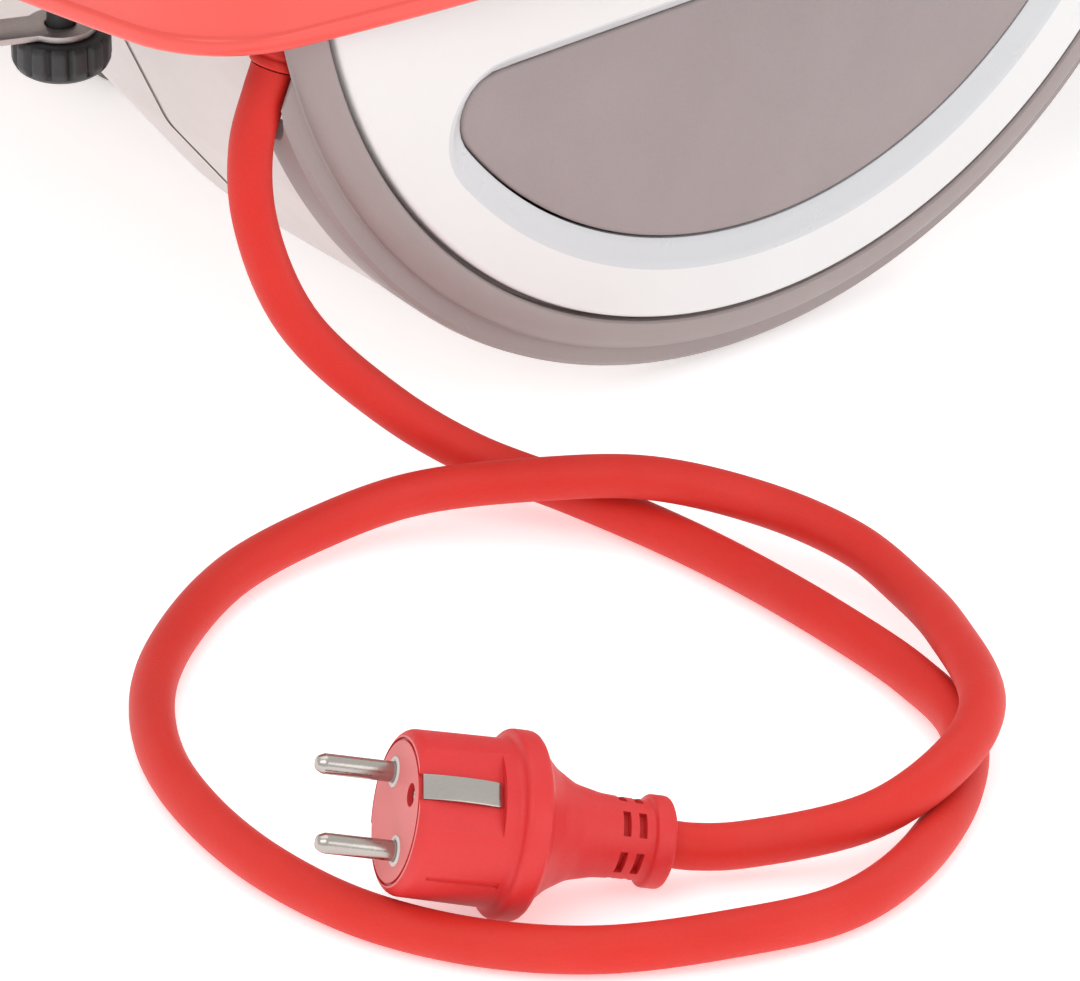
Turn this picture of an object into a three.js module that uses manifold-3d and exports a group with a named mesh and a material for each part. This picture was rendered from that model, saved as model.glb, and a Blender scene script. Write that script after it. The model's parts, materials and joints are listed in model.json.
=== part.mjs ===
// Compact pressure washer: a red hood over a grey half-drum body with silver side panels,
// a black front panel with the controls, two rear wheels, a telescopic handle, a motor with an
// axial piston pump inside, and a short mains lead with a moulded earthed plug.
// Millimetres, +Z up. The front looks along -Y. The origin is the bottom centre of the machine.

import * as THREE from 'three';
import { mergeVertices } from 'three/addons/utils/BufferGeometryUtils.js';
import Module from 'manifold-3d';

const wasm = await Module();
wasm.setup();

// ---------------------------------------------------------------- driving dimensions
const GAP = 0.35;                 // clearance between touching pieces
const AXIS_Y = -43;               // axis of the half-drum body
const AXIS_Z = 165;
const HALF_WIDTH = 180;           // outer face of the silver side panels
const DRUM_R = 162.5;             // outer radius of the grey body
const PANEL_R = 146.4;            // outer radius of the silver side panel
const INSET_R = 125.8;            // outer radius of the grey inset in it
const INSET_TOP = 109;            // height of the straight upper edge of the inset
const BEZEL_R = 132.5;            // where the panel's face starts to slope down to the inset
const BEAD_INNER_R = 147.8;
const BEAD_OUTER_R = 156.5;
const SHOULDER_X = 173;           // flat shoulder between the bead and the drum
const WALL = 3;
const SHELL_TOP = 140;            // upper edge of the drum shells
const SEAM_X = 86;                // seam between the centre tub and the side shells
const DECK_Z = 140.5;
const DECK_THICKNESS = 4;
const RIM_Z = 137;                // lower rim of the hood
const HOOD_TOP = 326;
const HOOD_HALF_WIDTH = 196;
const HOOD_HALF_LENGTH = 204;
const HOOD_FRONT_R = 694;
const HOOD_SIDE_R = 980;
const HOOD_CORNER_R = 35;
const OPENING_HALF_WIDTH = 119;   // opening in the front of the hood
const OPENING_TOP = 258;
const WHEEL_R = 75;
const WHEEL_WIDTH = 38;
const WHEEL_X = 171;              // middle of the wheel
const AXLE_Y = 246;
const AXLE_Z = WHEEL_R;
const AXLE_R = 7;
const TUBE_X = 118;               // handle tubes
const TUBE_Y = 219;
const SLEEVE_R = 13;
const BAR_R = 9.5;
const SLEEVE_TOP = 338;
const GRIP_Z = 452;
const MOTOR_Z = 197;
const MOTOR_R = 62;
const SHAFT_R = 9;
const PISTON_R = 7;
const PISTON_CIRCLE_R = 24;
const CORD_D = 11;
const KNOB_X = 93.5;                // clamp knob under the front of the hood
const KNOB_Y = -162.7;
const KNOB_Z = 100;
const KNOB_HEIGHT = 10.5;

// ---------------------------------------------------------------- finishes
const finish = (color, roughness, metalness = 0) =>
  new THREE.MeshStandardMaterial({ color, roughness, metalness });
const FINISH = {
  red: () => finish(0xe8463c, 0.35),
  redRubber: () => finish(0xd83a30, 0.6),
  grey: () => finish(0xb9b0ac, 0.45),
  darkGrey: () => finish(0x9c918e, 0.6),
  silver: () => finish(0xe6e8e8, 0.35, 0.3),
  black: () => finish(0x1d1d1f, 0.55),
  rubber: () => finish(0x18181a, 0.85),
  steel: () => finish(0xb8b8b6, 0.3, 1),
  castIron: () => finish(0x5b5e60, 0.7, 0.8),
  aluminium: () => finish(0xa9adb0, 0.45, 0.9),
  brass: () => finish(0xc2a14d, 0.35, 1),
  copper: () => finish(0xa3562f, 0.5, 0.8),
  glass: () => finish(0xdfe8ea, 0.05),
};

// ---------------------------------------------------------------- shape helpers
const V2 = (x, y) => new THREE.Vector2(x, y);
const V3 = (x, y, z) => new THREE.Vector3(x, y, z);
const rad = THREE.MathUtils.degToRad;
const ALONG_X = new THREE.Matrix4().makeBasis(V3(0, 1, 0), V3(0, 0, 1), V3(1, 0, 0));
const ALONG_Y = new THREE.Matrix4().makeBasis(V3(0, 0, 1), V3(1, 0, 0), V3(0, 1, 0));

function toSolid(geometry) {
  const bare = new THREE.BufferGeometry();
  bare.setAttribute('position', geometry.getAttribute('position'));
  if (geometry.index) bare.setIndex(geometry.index);
  const merged = mergeVertices(bare, 1e-4);
  return new wasm.Manifold(new wasm.Mesh({
    numProp: 3,
    vertProperties: new Float32Array(merged.getAttribute('position').array),
    triVerts: new Uint32Array(merged.index.array),
  }));
}

function toGeometry(solid) {
  const mesh = solid.getMesh();
  const geometry = new THREE.BufferGeometry();
  geometry.setAttribute('position', new THREE.BufferAttribute(mesh.vertProperties, 3));
  geometry.setIndex(new THREE.BufferAttribute(mesh.triVerts, 1));
  return geometry;
}

const join = (...solids) => solids.reduce((a, b) => a.add(b));
const cut = (solid, ...tools) => tools.reduce((a, b) => a.subtract(b), solid);

// a prism of an outline given in (y, z), between two x
function prismX(outline, x0, x1) {
  const shape = outline.isShape ? outline : new THREE.Shape(outline);
  const geometry = new THREE.ExtrudeGeometry(shape, { depth: x1 - x0, bevelEnabled: false });
  geometry.applyMatrix4(ALONG_X);
  return toSolid(geometry.translate(x0, 0, 0));
}

// a prism of an outline given in (z, x), between two y
function prismY(outline, y0, y1) {
  const shape = outline.isShape ? outline : new THREE.Shape(outline);
  const geometry = new THREE.ExtrudeGeometry(shape, { depth: y1 - y0, bevelEnabled: false });
  geometry.applyMatrix4(ALONG_Y);
  return toSolid(geometry.translate(0, y0, 0));
}

// a prism of an outline given in (x, y), between two z
function prismZ(outline, z0, z1) {
  const shape = outline.isShape ? outline : new THREE.Shape(outline);
  const geometry = new THREE.ExtrudeGeometry(shape, { depth: z1 - z0, bevelEnabled: false });
  return toSolid(geometry.translate(0, 0, z0));
}

// a turned piece: profile points are (radius, distance along the axis)
function turned(profile, axis = 'z', segments = 16) {
  const points = profile.map(([r, t]) => V2(r, t));
  if (THREE.ShapeUtils.area(points) < 0) points.reverse();
  const geometry = new THREE.LatheGeometry(points, segments);
  if (axis === 'x') geometry.rotateZ(-Math.PI / 2);
  if (axis === 'z') geometry.rotateX(Math.PI / 2);
  return toSolid(geometry);
}

const disc = (r, t0, t1, axis, segments = 16) =>
  turned([[0, t0], [r, t0], [r, t1], [0, t1]], axis, segments);
const tube = (rIn, rOut, t0, t1, axis, segments = 16) =>
  turned([[rIn, t0], [rOut, t0], [rOut, t1], [rIn, t1], [rIn, t0]], axis, segments);
const block = (x0, x1, y0, y1, z0, z1) =>
  toSolid(new THREE.BoxGeometry(x1 - x0, y1 - y0, z1 - z0)
    .translate((x0 + x1) / 2, (y0 + y1) / 2, (z0 + z1) / 2));

// a closed skin over rings that have the same number of points
function loft(rings) {
  const count = rings[0].length;
  const positions = [];
  const index = [];
  rings.forEach((ring) => ring.forEach((p) => positions.push(p.x, p.y, p.z)));
  for (let r = 0; r < rings.length - 1; r += 1) {
    for (let i = 0; i < count; i += 1) {
      const j = (i + 1) % count;
      const a = r * count + i;
      const b = r * count + j;
      index.push(a, b, b + count, a, b + count, a + count);
    }
  }
  [[0, false], [rings.length - 1, true]].forEach(([r, last]) => {
    const flat = THREE.ShapeUtils.triangulateShape(flatten(rings[r]), []);
    flat.forEach(([a, b, c]) => {
      const base = r * count;
      index.push(base + a, base + (last ? b : c), base + (last ? c : b));
    });
  });
  const geometry = new THREE.BufferGeometry();
  geometry.setAttribute('position', new THREE.Float32BufferAttribute(positions, 3));
  geometry.setIndex(index);
  return toSolid(geometry);
}

// a ring's outline in its own plane, counter-clockwise from outside of the last ring
function flatten(ring) {
  const spanX = Math.max(...ring.map((p) => p.x)) - Math.min(...ring.map((p) => p.x));
  return ring.map((p) => (spanX < 1e-6 ? V2(p.y, p.z) : V2(p.x, p.y)));
}

// points of an arc about (cx, cy), without its last point
function arc(cx, cy, r, from, to, steps) {
  return Array.from({ length: steps }, (_, i) => {
    const a = from + ((to - from) * i) / steps;
    return V2(cx + r * Math.cos(a), cy + r * Math.sin(a));
  });
}

function roundedRectangle(w, h, r, steps = 4) {
  const x = w / 2 - r;
  const y = h / 2 - r;
  const q = Math.PI / 2;
  return [
    ...arc(x, -y, r, -q, 0, steps), V2(x + r, -y),
    ...arc(x, y, r, 0, q, steps), V2(x, y + r),
    ...arc(-x, y, r, q, 2 * q, steps), V2(-x - r, y),
    ...arc(-x, -y, r, 2 * q, 3 * q, steps), V2(-x, -y - r),
  ];
}

// plan outline with bowed front and sides and round corners, all the way round
function bowedOutline(halfWidth, halfLength, cornerR) {
  const frontR = HOOD_FRONT_R;
  const sideR = HOOD_SIDE_R;
  const fy = frontR - halfLength;
  const sx = halfWidth - sideR;
  const rf = frontR - cornerR;
  const rs = sideR - cornerR;
  const d = Math.hypot(sx, fy);
  const along = (rf * rf - rs * rs + d * d) / (2 * d);
  const off = Math.sqrt(rf * rf - along * along);
  const ux = sx / d;
  const uy = -fy / d;
  const cx = ux * along - uy * off;
  const cy = fy + uy * along + ux * off;
  const centre = cy < 0 && cx > 0 ? [cx, cy] : [ux * along + uy * off, fy + uy * along - ux * off];
  const t1 = Math.atan2(centre[1] - fy, centre[0]);
  const t2 = Math.atan2(centre[1], centre[0] - sx);
  const quarter = [
    ...arc(0, fy, frontR, -Math.PI / 2, t1, 3),
    ...arc(centre[0], centre[1], cornerR, t1, t2, 4),
    ...arc(sx, 0, sideR, t2, 0, 3),
  ];
  const back = [...quarter.slice(1), V2(halfWidth, 0)].reverse();
  return [
    ...quarter,
    ...back.map((p) => V2(p.x, -p.y)),
    ...quarter.map((p) => V2(-p.x, -p.y)),
    ...back.map((p) => V2(-p.x, p.y)),
  ];
}

// ---------------------------------------------------------------- scene graph helpers
const washer = new THREE.Group();
const machine = new THREE.Group();
machine.position.set(0, AXIS_Y, 0);
washer.add(machine);

function add(name, solid, material, x = 0, y = 0, z = 0, parent = machine) {
  const mesh = new THREE.Mesh(toGeometry(solid), material);
  mesh.name = name;
  mesh.position.set(x, y, z);
  parent.add(mesh);
  return mesh;
}

const SIDES = [['right', 1], ['left', -1]];

// ---------------------------------------------------------------- half-drum body
// section of the drum in (y, z) from front top, under the belly, to rear top; a smaller or larger
// copy about the axis is made by scale
function drumSection(scale, top) {
  const creaseY = 125;
  const creaseZ = 70;
  const topY = 157.5;
  const belly = rad(37);
  const front = [V2(-topY, SHELL_TOP), V2(-creaseY, creaseZ)];
  const bottom = arc(0, AXIS_Z, DRUM_R, -Math.PI / 2 - belly, -Math.PI / 2 + belly, 10);
  bottom.push(V2(DRUM_R * Math.sin(belly), AXIS_Z - DRUM_R * Math.cos(belly)));
  const rear = [V2(creaseY, creaseZ), V2(topY, SHELL_TOP)];
  return [...front, ...bottom, ...rear].map((p, i, all) => {
    const end = i === 0 || i === all.length - 1;
    const z = AXIS_Z + (p.y - AXIS_Z) * scale;
    return V2(p.x * scale, end ? top : z);
  });
}

const VALLEY_DEPTH = 20;
const VALLEY_FLAT = 12;
const ringAt = (x, scale, top) => drumSection(scale, top).map((p) => V3(x, p.x, p.y));

function tubSkin(wall, top, half) {
  const xs = [-half, -64, -50, -37, -24, -VALLEY_FLAT, 0, VALLEY_FLAT, 24, 37, 50, 64, half];
  return loft(xs.map((x) => {
    const t = Math.min(1, Math.max(VALLEY_FLAT, Math.abs(x)) / SEAM_X);
    const r = DRUM_R - wall - VALLEY_DEPTH * (1 - t) * (1 - t);
    return ringAt(x, r / DRUM_R, top);
  }));
}

function addBaseTub() {
  const half = SEAM_X - GAP / 2;
  const outer = tubSkin(0, SHELL_TOP, half);
  const inner = tubSkin(WALL, SHELL_TOP + 5, half + 5);
  add('base_tub', cut(outer, inner), FINISH.grey());
}

function halfDisc(r, top) {
  const a = Math.acos((AXIS_Z - top) / r);
  return [...arc(0, AXIS_Z, r, -Math.PI / 2 - a, -Math.PI / 2 + a, 28),
    V2(r * Math.sin(a), AXIS_Z - r * Math.cos(a))];
}

function addSideShell(side, s) {
  const outer = loft([ringAt(SEAM_X + GAP / 2, 1, SHELL_TOP), ringAt(SHOULDER_X - 9, 1, SHELL_TOP)]);
  const shoulder = prismX(halfDisc(DRUM_R - 0.5, SHELL_TOP), SHOULDER_X - 9.5, SHOULDER_X);
  const beadDisc = (r, x0, x1) => prismX(halfDisc(r, SHELL_TOP), x0, x1);
  const bead = join(
    beadDisc(BEAD_OUTER_R, SHOULDER_X - 1, SHOULDER_X + 2.6),
    beadDisc(BEAD_OUTER_R - 1.8, SHOULDER_X - 1, SHOULDER_X + 5),
    beadDisc(BEAD_OUTER_R - 4.6, SHOULDER_X - 1, HALF_WIDTH - 0.6),
  );
  const recess = prismX(halfDisc(BEAD_INNER_R, SHELL_TOP + 2), SHOULDER_X + 0.5, HALF_WIDTH + 5);
  const scale = (DRUM_R - WALL) / DRUM_R;
  const inner = loft([ringAt(SEAM_X - 5, scale, SHELL_TOP + 5),
    ringAt(SHOULDER_X - WALL, scale, SHELL_TOP + 5)]);
  const notchR = 7.4;
  const slot = block(-notchR, notchR + 0.8, -30, 0, -19, 40);
  const cordNotch = onExitLine(join(disc(notchR, -19, 40, 'z', 16), slot));
  let shell = cut(join(outer, shoulder, bead), recess, inner);
  if (s > 0) shell = cut(shell, cordNotch);
  if (s < 0) shell = shell.mirror([1, 0, 0]);
  add(`side_shell_${side}`, shell, FINISH.grey());
}

// outline of the grey inset in (y, z): an arc below, a straight edge above and round corners
function insetOutline(r, top, corner) {
  const cz = top - corner;
  const reach = Math.sqrt((r - corner) ** 2 - (cz - AXIS_Z) ** 2);
  const a = Math.atan2(cz - AXIS_Z, reach);
  return [
    ...arc(0, AXIS_Z, r, -Math.PI - a, a, 20),
    ...arc(reach, cz, corner, a, Math.PI / 2, 4),
    ...arc(-reach, cz, corner, Math.PI / 2, Math.PI - a, 4),
  ];
}

function addSidePanel(side, s) {
  const slope = BEZEL_R - INSET_R;
  const bezel = loft([
    insetOutline(INSET_R - 0.2, INSET_TOP + 0.5, 11.8).map((p) => V3(HALF_WIDTH - 2.4, p.x, p.y)),
    insetOutline(BEZEL_R, INSET_TOP + slope * 0.25, 11 + slope).map((p) =>
      V3(HALF_WIDTH + 0.01, p.x, p.y)),
  ]);
  const through = prismX(insetOutline(INSET_R - 0.2, INSET_TOP + 0.5, 11.8),
    SHOULDER_X, HALF_WIDTH - 2.3);
  let panel = cut(prismX(halfDisc(PANEL_R, SHELL_TOP), SHOULDER_X + 0.5 + GAP, HALF_WIDTH),
    bezel, through);
  let inset = prismX(insetOutline(INSET_R - 0.9, INSET_TOP - 0.3, 11),
    SHOULDER_X + 0.5 + GAP, HALF_WIDTH - 2.2);
  if (s < 0) panel = panel.mirror([1, 0, 0]);
  if (s < 0) inset = inset.mirror([1, 0, 0]);
  add(`side_panel_${side}`, panel, FINISH.silver());
  add(`side_inset_${side}`, inset, FINISH.darkGrey());
}

function addFoot(side, s) {
  const foot = turned([[0, 0], [13, 0], [14, 1.5], [14, 9], [0, 9]], 'z', 20);
  const belly = tubSkin(-GAP, SHELL_TOP, SEAM_X + 20);
  const x = s * 62;
  const y = -30;
  add(`foot_${side}`, cut(foot.translate([x, y, 0]), belly), FINISH.rubber());
}

// ---------------------------------------------------------------- deck, hood and front panel
const MOTOR_BAY = [-100, 100, -150, 165];

function addDeck() {
  const outline = bowedOutline(HOOD_HALF_WIDTH - 6, HOOD_HALF_LENGTH - 14, HOOD_CORNER_R);
  const plate = prismZ(outline, DECK_Z, DECK_Z + DECK_THICKNESS);
  const [x0, x1, y0, y1] = MOTOR_BAY;
  const bay = block(x0, x1, y0, y1, DECK_Z - 1, DECK_Z + DECK_THICKNESS + 1);
  const glandHole = onExitLine(disc(RELIEF_NECK_R + GAP, 0, 46, 'z', 16));
  add('deck', cut(plate, bay, glandHole), FINISH.black());
}

function hoodSkin(wall, bottom) {
  const wallTop = 238;
  const crownInset = 62;
  const levels = [[bottom, 0], [wallTop, 4]];
  const steps = 3;
  for (let k = 1; k <= steps; k += 1) {
    const a = (k / steps) * (Math.PI / 2) * 0.985;
    levels.push([wallTop + (HOOD_TOP - 4 - wallTop) * Math.sin(a), 4 + crownInset * (1 - Math.cos(a))]);
  }
  levels.push([HOOD_TOP, 120]);
  return loft(levels.map(([z, inset], i) => {
    const grow = inset + wall;
    const corner = Math.max(20, HOOD_CORNER_R - wall + inset * 0.3);
    return bowedOutline(HOOD_HALF_WIDTH - grow, HOOD_HALF_LENGTH - grow, corner)
      .map((p) => V3(p.x, p.y, i === 0 ? z : z - wall));
  }));
}

function addHood() {
  const outer = hoodSkin(0, RIM_Z);
  const inner = hoodSkin(WALL, RIM_Z - 10);
  const height = OPENING_TOP - RIM_Z + 40;
  const opening = prismY(roundedRectangle(height, OPENING_HALF_WIDTH * 2, 16)
    .map((p) => V2(p.x + OPENING_TOP - height / 2, p.y)), -260, -150);
  const stayNotches = SIDES.map(([, s]) =>
    block(s * TUBE_X - 11, s * TUBE_X + 11, 170, 225, RIM_Z - 1, DECK_Z + 13));
  add('hood', cut(outer, inner, opening, ...stayNotches), FINISH.red());
}

const PANEL_FRONT = -192;         // middle of the black front panel
const PANEL_THICKNESS = 4;
const SWITCH_AT = [62, 214];
const GAUGE_AT = [0, 222];
const REGULATOR_AT = [-62, 214];
const OUTLET_AT = [34, 166];
const INLET_AT = [-34, 166];

function addFrontPanel() {
  const half = 122;
  const bow = (x) => HOOD_FRONT_R - Math.sqrt(HOOD_FRONT_R ** 2 - x * x);
  const xs = Array.from({ length: 9 }, (_, i) => -half + (2 * half * i) / 8);
  const frontEdge = xs.map((x) => V2(x, PANEL_FRONT + bow(x)));
  const backEdge = xs.map((x) => V2(x, PANEL_FRONT + PANEL_THICKNESS + bow(x))).reverse();
  const plate = prismZ([...frontEdge, ...backEdge], DECK_Z + DECK_THICKNESS + GAP, OPENING_TOP - 1);
  const holes = [[SWITCH_AT, 5], [GAUGE_AT, 5], [REGULATOR_AT, 5], [OUTLET_AT, 12], [INLET_AT, 14]]
    .map(([[x, z], r]) => disc(r, PANEL_FRONT - 20, PANEL_FRONT + 30, 'y', 16).translate([x, 0, z]));
  add('front_panel', cut(plate, ...holes), FINISH.black());
}

// ---------------------------------------------------------------- controls on the front panel
function knob(r, length, ribs) {
  const body = turned([[0, 0], [r * 0.9, 0], [r, 1.5], [r, length - 2], [r - 2, length], [0, length]],
    'y', ribs * 2);
  const grooves = Array.from({ length: ribs }, (_, i) => {
    const a = (i / ribs) * Math.PI * 2;
    return disc(1.3, 2, length + 1, 'y', 5).translate([r * Math.cos(a) * 1.03, 0, r * Math.sin(a) * 1.03]);
  });
  return cut(body, ...grooves);
}

function addControls() {
  const face = PANEL_FRONT - 4 - GAP;
  const bow = 3;
  const grip = block(-5, 5, -25, -13, -19, 19);
  const switchKnob = join(disc(21, -14, 0, 'y', 24), grip, disc(3.6, -1, 12, 'y', 16));
  add('main_switch', switchKnob, FINISH.black(), SWITCH_AT[0], face + bow - GAP, SWITCH_AT[1]);
  const regulator = join(knob(20, 24, 10).mirror([0, 1, 0]), disc(3.6, -1, 26, 'y', 16));
  add('pressure_knob', regulator, FINISH.redRubber(), REGULATOR_AT[0], face + bow - GAP, REGULATOR_AT[1]);

  const [gx, gz] = GAUGE_AT;
  const gy = face + 2.5;
  const gaugeCase = join(turned([[0, 0], [27, 0], [27, -13], [24.5, -13], [24.5, -4], [0, -4]], 'y', 24),
    disc(4, -1, 25, 'y', 16));
  add('gauge_case', gaugeCase, FINISH.steel(), gx, gy, gz);
  const needle = join(disc(2.6, -7.5, -5.6, 'y', 16), block(-0.9, 0.9, -7, -6, 0, 19));
  add('gauge_needle', needle, FINISH.redRubber(), gx, gy, gz);
  add('gauge_lens', disc(24.1, -12.5, -10.5, 'y', 24), FINISH.glass(), gx, gy, gz);

  const outlet = turned([[6, 40], [10.5, 40], [10.5, 4], [15, 4], [15, -4], [11, -4], [11, -24],
    [6, -24], [6, 40]], 'y', 16);
  add('pressure_outlet', outlet, FINISH.brass(), OUTLET_AT[0], PANEL_FRONT - 5, OUTLET_AT[1]);
  const inlet = turned([[8, 40], [12.5, 40], [12.5, 4], [17, 4], [17, -4], [13.2, -4], [13.2, -16],
    [8, -16], [8, 40]], 'y', 16);
  add('water_inlet', inlet, FINISH.brass(), INLET_AT[0], PANEL_FRONT - 5, INLET_AT[1]);
  const cap = cut(knob(18.5, 20, 10).mirror([0, 1, 0]), disc(13.7, -14, 1, 'y', 16), disc(8, -30, 1, 'y'));
  add('inlet_coupling', cap, FINISH.black(), INLET_AT[0], PANEL_FRONT - 5 - 4 - GAP, INLET_AT[1]);
}

// ---------------------------------------------------------------- clamp under the front corner
function addClamp() {
  const body = turned([[0, 0], [9.6, 0], [11.6, 1.6], [12.4, 4], [12.4, KNOB_HEIGHT - 1], [11, KNOB_HEIGHT],
    [0, KNOB_HEIGHT]], 'z', 20);
  const grooves = Array.from({ length: 10 }, (_, i) => {
    const a = ((i + 0.5) / 10) * Math.PI * 2;
    return disc(1.1, 3, KNOB_HEIGHT + 1, 'z', 5).translate([12.9 * Math.cos(a), 12.9 * Math.sin(a), 0]);
  });
  const stud = disc(3.5, KNOB_HEIGHT - 1, DECK_Z - GAP - KNOB_Z, 'z', 16);
  add('clamp_knob', join(cut(body, ...grooves), stud), FINISH.black(), KNOB_X, KNOB_Y, KNOB_Z);

  const thickness = 1.8;
  const width = 12;
  const length = 76;
  const strip = [...arc(0, 0, 9, rad(42), rad(318), 14), V2(7, -width / 2), V2(length, -width / 2),
    V2(length, width / 2), V2(7, width / 2)];
  const z0 = KNOB_Z + KNOB_HEIGHT + GAP;
  const plate = cut(prismZ(strip, 0, thickness), disc(4, -1, thickness + 1, 'z', 16));
  add('clamp_strip', plate.rotate([0, 0, -113]), FINISH.steel(), KNOB_X, KNOB_Y, z0);
}

// ---------------------------------------------------------------- wheels and rear frame
function addRearFrame() {
  const y0 = TUBE_Y;
  const parts = SIDES.flatMap(([, s]) => {
    const x = s * TUBE_X;
    const sleeve = disc(SLEEVE_R, 62, SLEEVE_TOP, 'z', 16).translate([x, y0, 0]);
    const plate = [V2(y0 - 4, 58), V2(AXLE_Y + 12, 58), V2(AXLE_Y + 14, 78), V2(AXLE_Y + 2, 94),
      V2(y0 - 4, 110)];
    const web = prismX(plate, Math.min(x, x + s * 6) + s * 9, Math.max(x, x + s * 6) + s * 9);
    return [sleeve, web];
  });
  const cross = disc(8, -TUBE_X, TUBE_X, 'x', 16).translate([0, y0, 100]);
  const stays = SIDES.map(([, s]) =>
    block(s * TUBE_X - 10, s * TUBE_X + 10, 168, y0, DECK_Z + DECK_THICKNESS + GAP, DECK_Z + 12));
  const bores = SIDES.map(([, s]) =>
    disc(SLEEVE_R - 2.5, 66, SLEEVE_TOP + 5, 'z', 16).translate([s * TUBE_X, y0, 0]));
  const axleHole = disc(AXLE_R + GAP, -200, 200, 'x').translate([0, AXLE_Y, AXLE_Z]);
  const buttonHole = disc(5 + GAP, -200, 200, 'x', 12).translate([0, y0, SLEEVE_TOP - 22]);
  add('rear_frame', cut(join(...parts, cross, ...stays), ...bores, axleHole, buttonHole), FINISH.black());
  const reach = WHEEL_X + WHEEL_WIDTH / 2 + 3.4;
  add('rear_axle', disc(AXLE_R, -reach, reach, 'x'), FINISH.steel(), 0, AXLE_Y, AXLE_Z);
}

function addWheel(side, s) {
  const w = WHEEL_WIDTH / 2;
  const rimR = 52;
  const holes = Array.from({ length: 5 }, (_, i) => {
    const a = (i / 5) * Math.PI * 2;
    return disc(9.5, -w - 1, w + 1, 'x', 8).translate([0, 33 * Math.cos(a), 33 * Math.sin(a)]);
  });
  const bore = AXLE_R + GAP;
  const rim = turned([[bore, -w + 2], [16, -w + 2], [17, -6], [42, -4], [46, -w + 3], [rimR, -w + 3],
    [rimR, w - 3], [46, w - 3], [42, 4], [17, 6], [16, w - 2], [bore, w - 2], [bore, -w + 2]], 'x', 24);
  const ringIn = rimR + GAP;
  const tyre = turned([[ringIn, -w + 1], [64, -w], [71, -w + 2], [WHEEL_R - 0.6, -w + 7], [WHEEL_R, 0],
    [WHEEL_R - 0.6, w - 7], [71, w - 2], [64, w], [ringIn, w - 1], [ringIn, -w + 1]], 'x', 24);
  add(`wheel_${side}`, cut(rim, ...holes), FINISH.grey(), s * WHEEL_X, AXLE_Y, AXLE_Z);
  add(`tyre_${side}`, tyre, FINISH.rubber(), s * WHEEL_X, AXLE_Y, AXLE_Z);
  const cap = turned([[AXLE_R + GAP, 0], [14, 0], [14, 4], [9, 8], [0, 9], [0, 5.6], [AXLE_R + GAP, 5.6],
    [AXLE_R + GAP, 0]], 'x');
  const placed = s > 0 ? cap : cap.mirror([1, 0, 0]);
  add(`hub_cap_${side}`, placed, FINISH.black(), s * (WHEEL_X + w - 2 + GAP), AXLE_Y, AXLE_Z);
}

function addHandle() {
  const bend = 40;
  const top = GRIP_Z;
  const bottom = 76;
  const q = Math.PI / 2;
  const points = [
    V3(-TUBE_X, 0, bottom), V3(-TUBE_X, 0, top - bend),
    ...arc(-TUBE_X + bend, top - bend, bend, Math.PI, q, 6).slice(1).map((p) => V3(p.x, 0, p.y)),
    V3(-TUBE_X + bend, 0, top), V3(TUBE_X - bend, 0, top),
    ...arc(TUBE_X - bend, top - bend, bend, q, 0, 6).slice(1).map((p) => V3(p.x, 0, p.y)),
    V3(TUBE_X, 0, top - bend), V3(TUBE_X, 0, bottom),
  ];
  add('handle_bar', sweep(points, BAR_R, 12), FINISH.black(), 0, TUBE_Y, 0);
  const half = TUBE_X - bend - 6;
  const r = BAR_R + GAP;
  const grip = turned([[r, -half], [14, -half], [15, -half + 3], [14, -half + 12], [14.6, 0],
    [14, half - 12], [15, half - 3], [14, half], [r, half], [r, -half]], 'x', 18);
  add('handle_grip', grip, FINISH.rubber(), 0, TUBE_Y, top);
}

// a round bar through given points, with mitred corners
function sweep(points, r, sides) {
  const rings = points.map((p, i) => {
    const into = i > 0 ? p.clone().sub(points[i - 1]).normalize() : null;
    const out = i < points.length - 1 ? points[i + 1].clone().sub(p).normalize() : null;
    const tangent = into && out ? into.clone().add(out).normalize() : (into || out).clone();
    const cosHalf = into && out ? tangent.dot(out) : 1;
    const side = V3(0, 1, 0);
    const normal = side.clone().cross(tangent).normalize();
    return Array.from({ length: sides }, (_, k) => {
      const a = (k / sides) * Math.PI * 2;
      return p.clone()
        .addScaledVector(side, r * Math.cos(a))
        .addScaledVector(normal, -(r / cosHalf) * Math.sin(a));
    });
  });
  return loftFan(rings);
}

// a closed skin over rings with its end caps as fans
function loftFan(rings) {
  const count = rings[0].length;
  const positions = [];
  const index = [];
  rings.forEach((ring) => ring.forEach((p) => positions.push(p.x, p.y, p.z)));
  for (let r = 0; r < rings.length - 1; r += 1) {
    for (let i = 0; i < count; i += 1) {
      const a = r * count + i;
      const b = r * count + ((i + 1) % count);
      index.push(a, b, b + count, a, b + count, a + count);
    }
  }
  const last = (rings.length - 1) * count;
  for (let i = 1; i < count - 1; i += 1) {
    index.push(0, i + 1, i, last, last + i, last + i + 1);
  }
  const geometry = new THREE.BufferGeometry();
  geometry.setAttribute('position', new THREE.Float32BufferAttribute(positions, 3));
  geometry.setIndex(index);
  return toSolid(geometry);
}

function addLockButton(side, s) {
  const button = turned([[0, 0], [4.8, 0], [4.8, 14], [7, 14], [7, 19], [5.5, 20.5], [0, 20.5]], 'x', 12);
  const placed = s > 0 ? button : button.mirror([1, 0, 0]);
  add(`lock_button_${side}`, placed, FINISH.redRubber(), s * (TUBE_X + BAR_R + GAP), TUBE_Y, SLEEVE_TOP - 22);
}

// ---------------------------------------------------------------- motor and pump
function finnedHousing(y0, y1) {
  const fins = 16;
  const outline = Array.from({ length: fins * 4 }, (_, i) => {
    const a = (i / (fins * 4)) * Math.PI * 2;
    const r = i % 4 < 2 ? MOTOR_R : MOTOR_R - 6;
    return V2(r * Math.cos(a), r * Math.sin(a));
  });
  return cut(prismY(outline, y0, y1), disc(50, y0 - 1, y1 + 1, 'y', 24));
}

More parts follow.
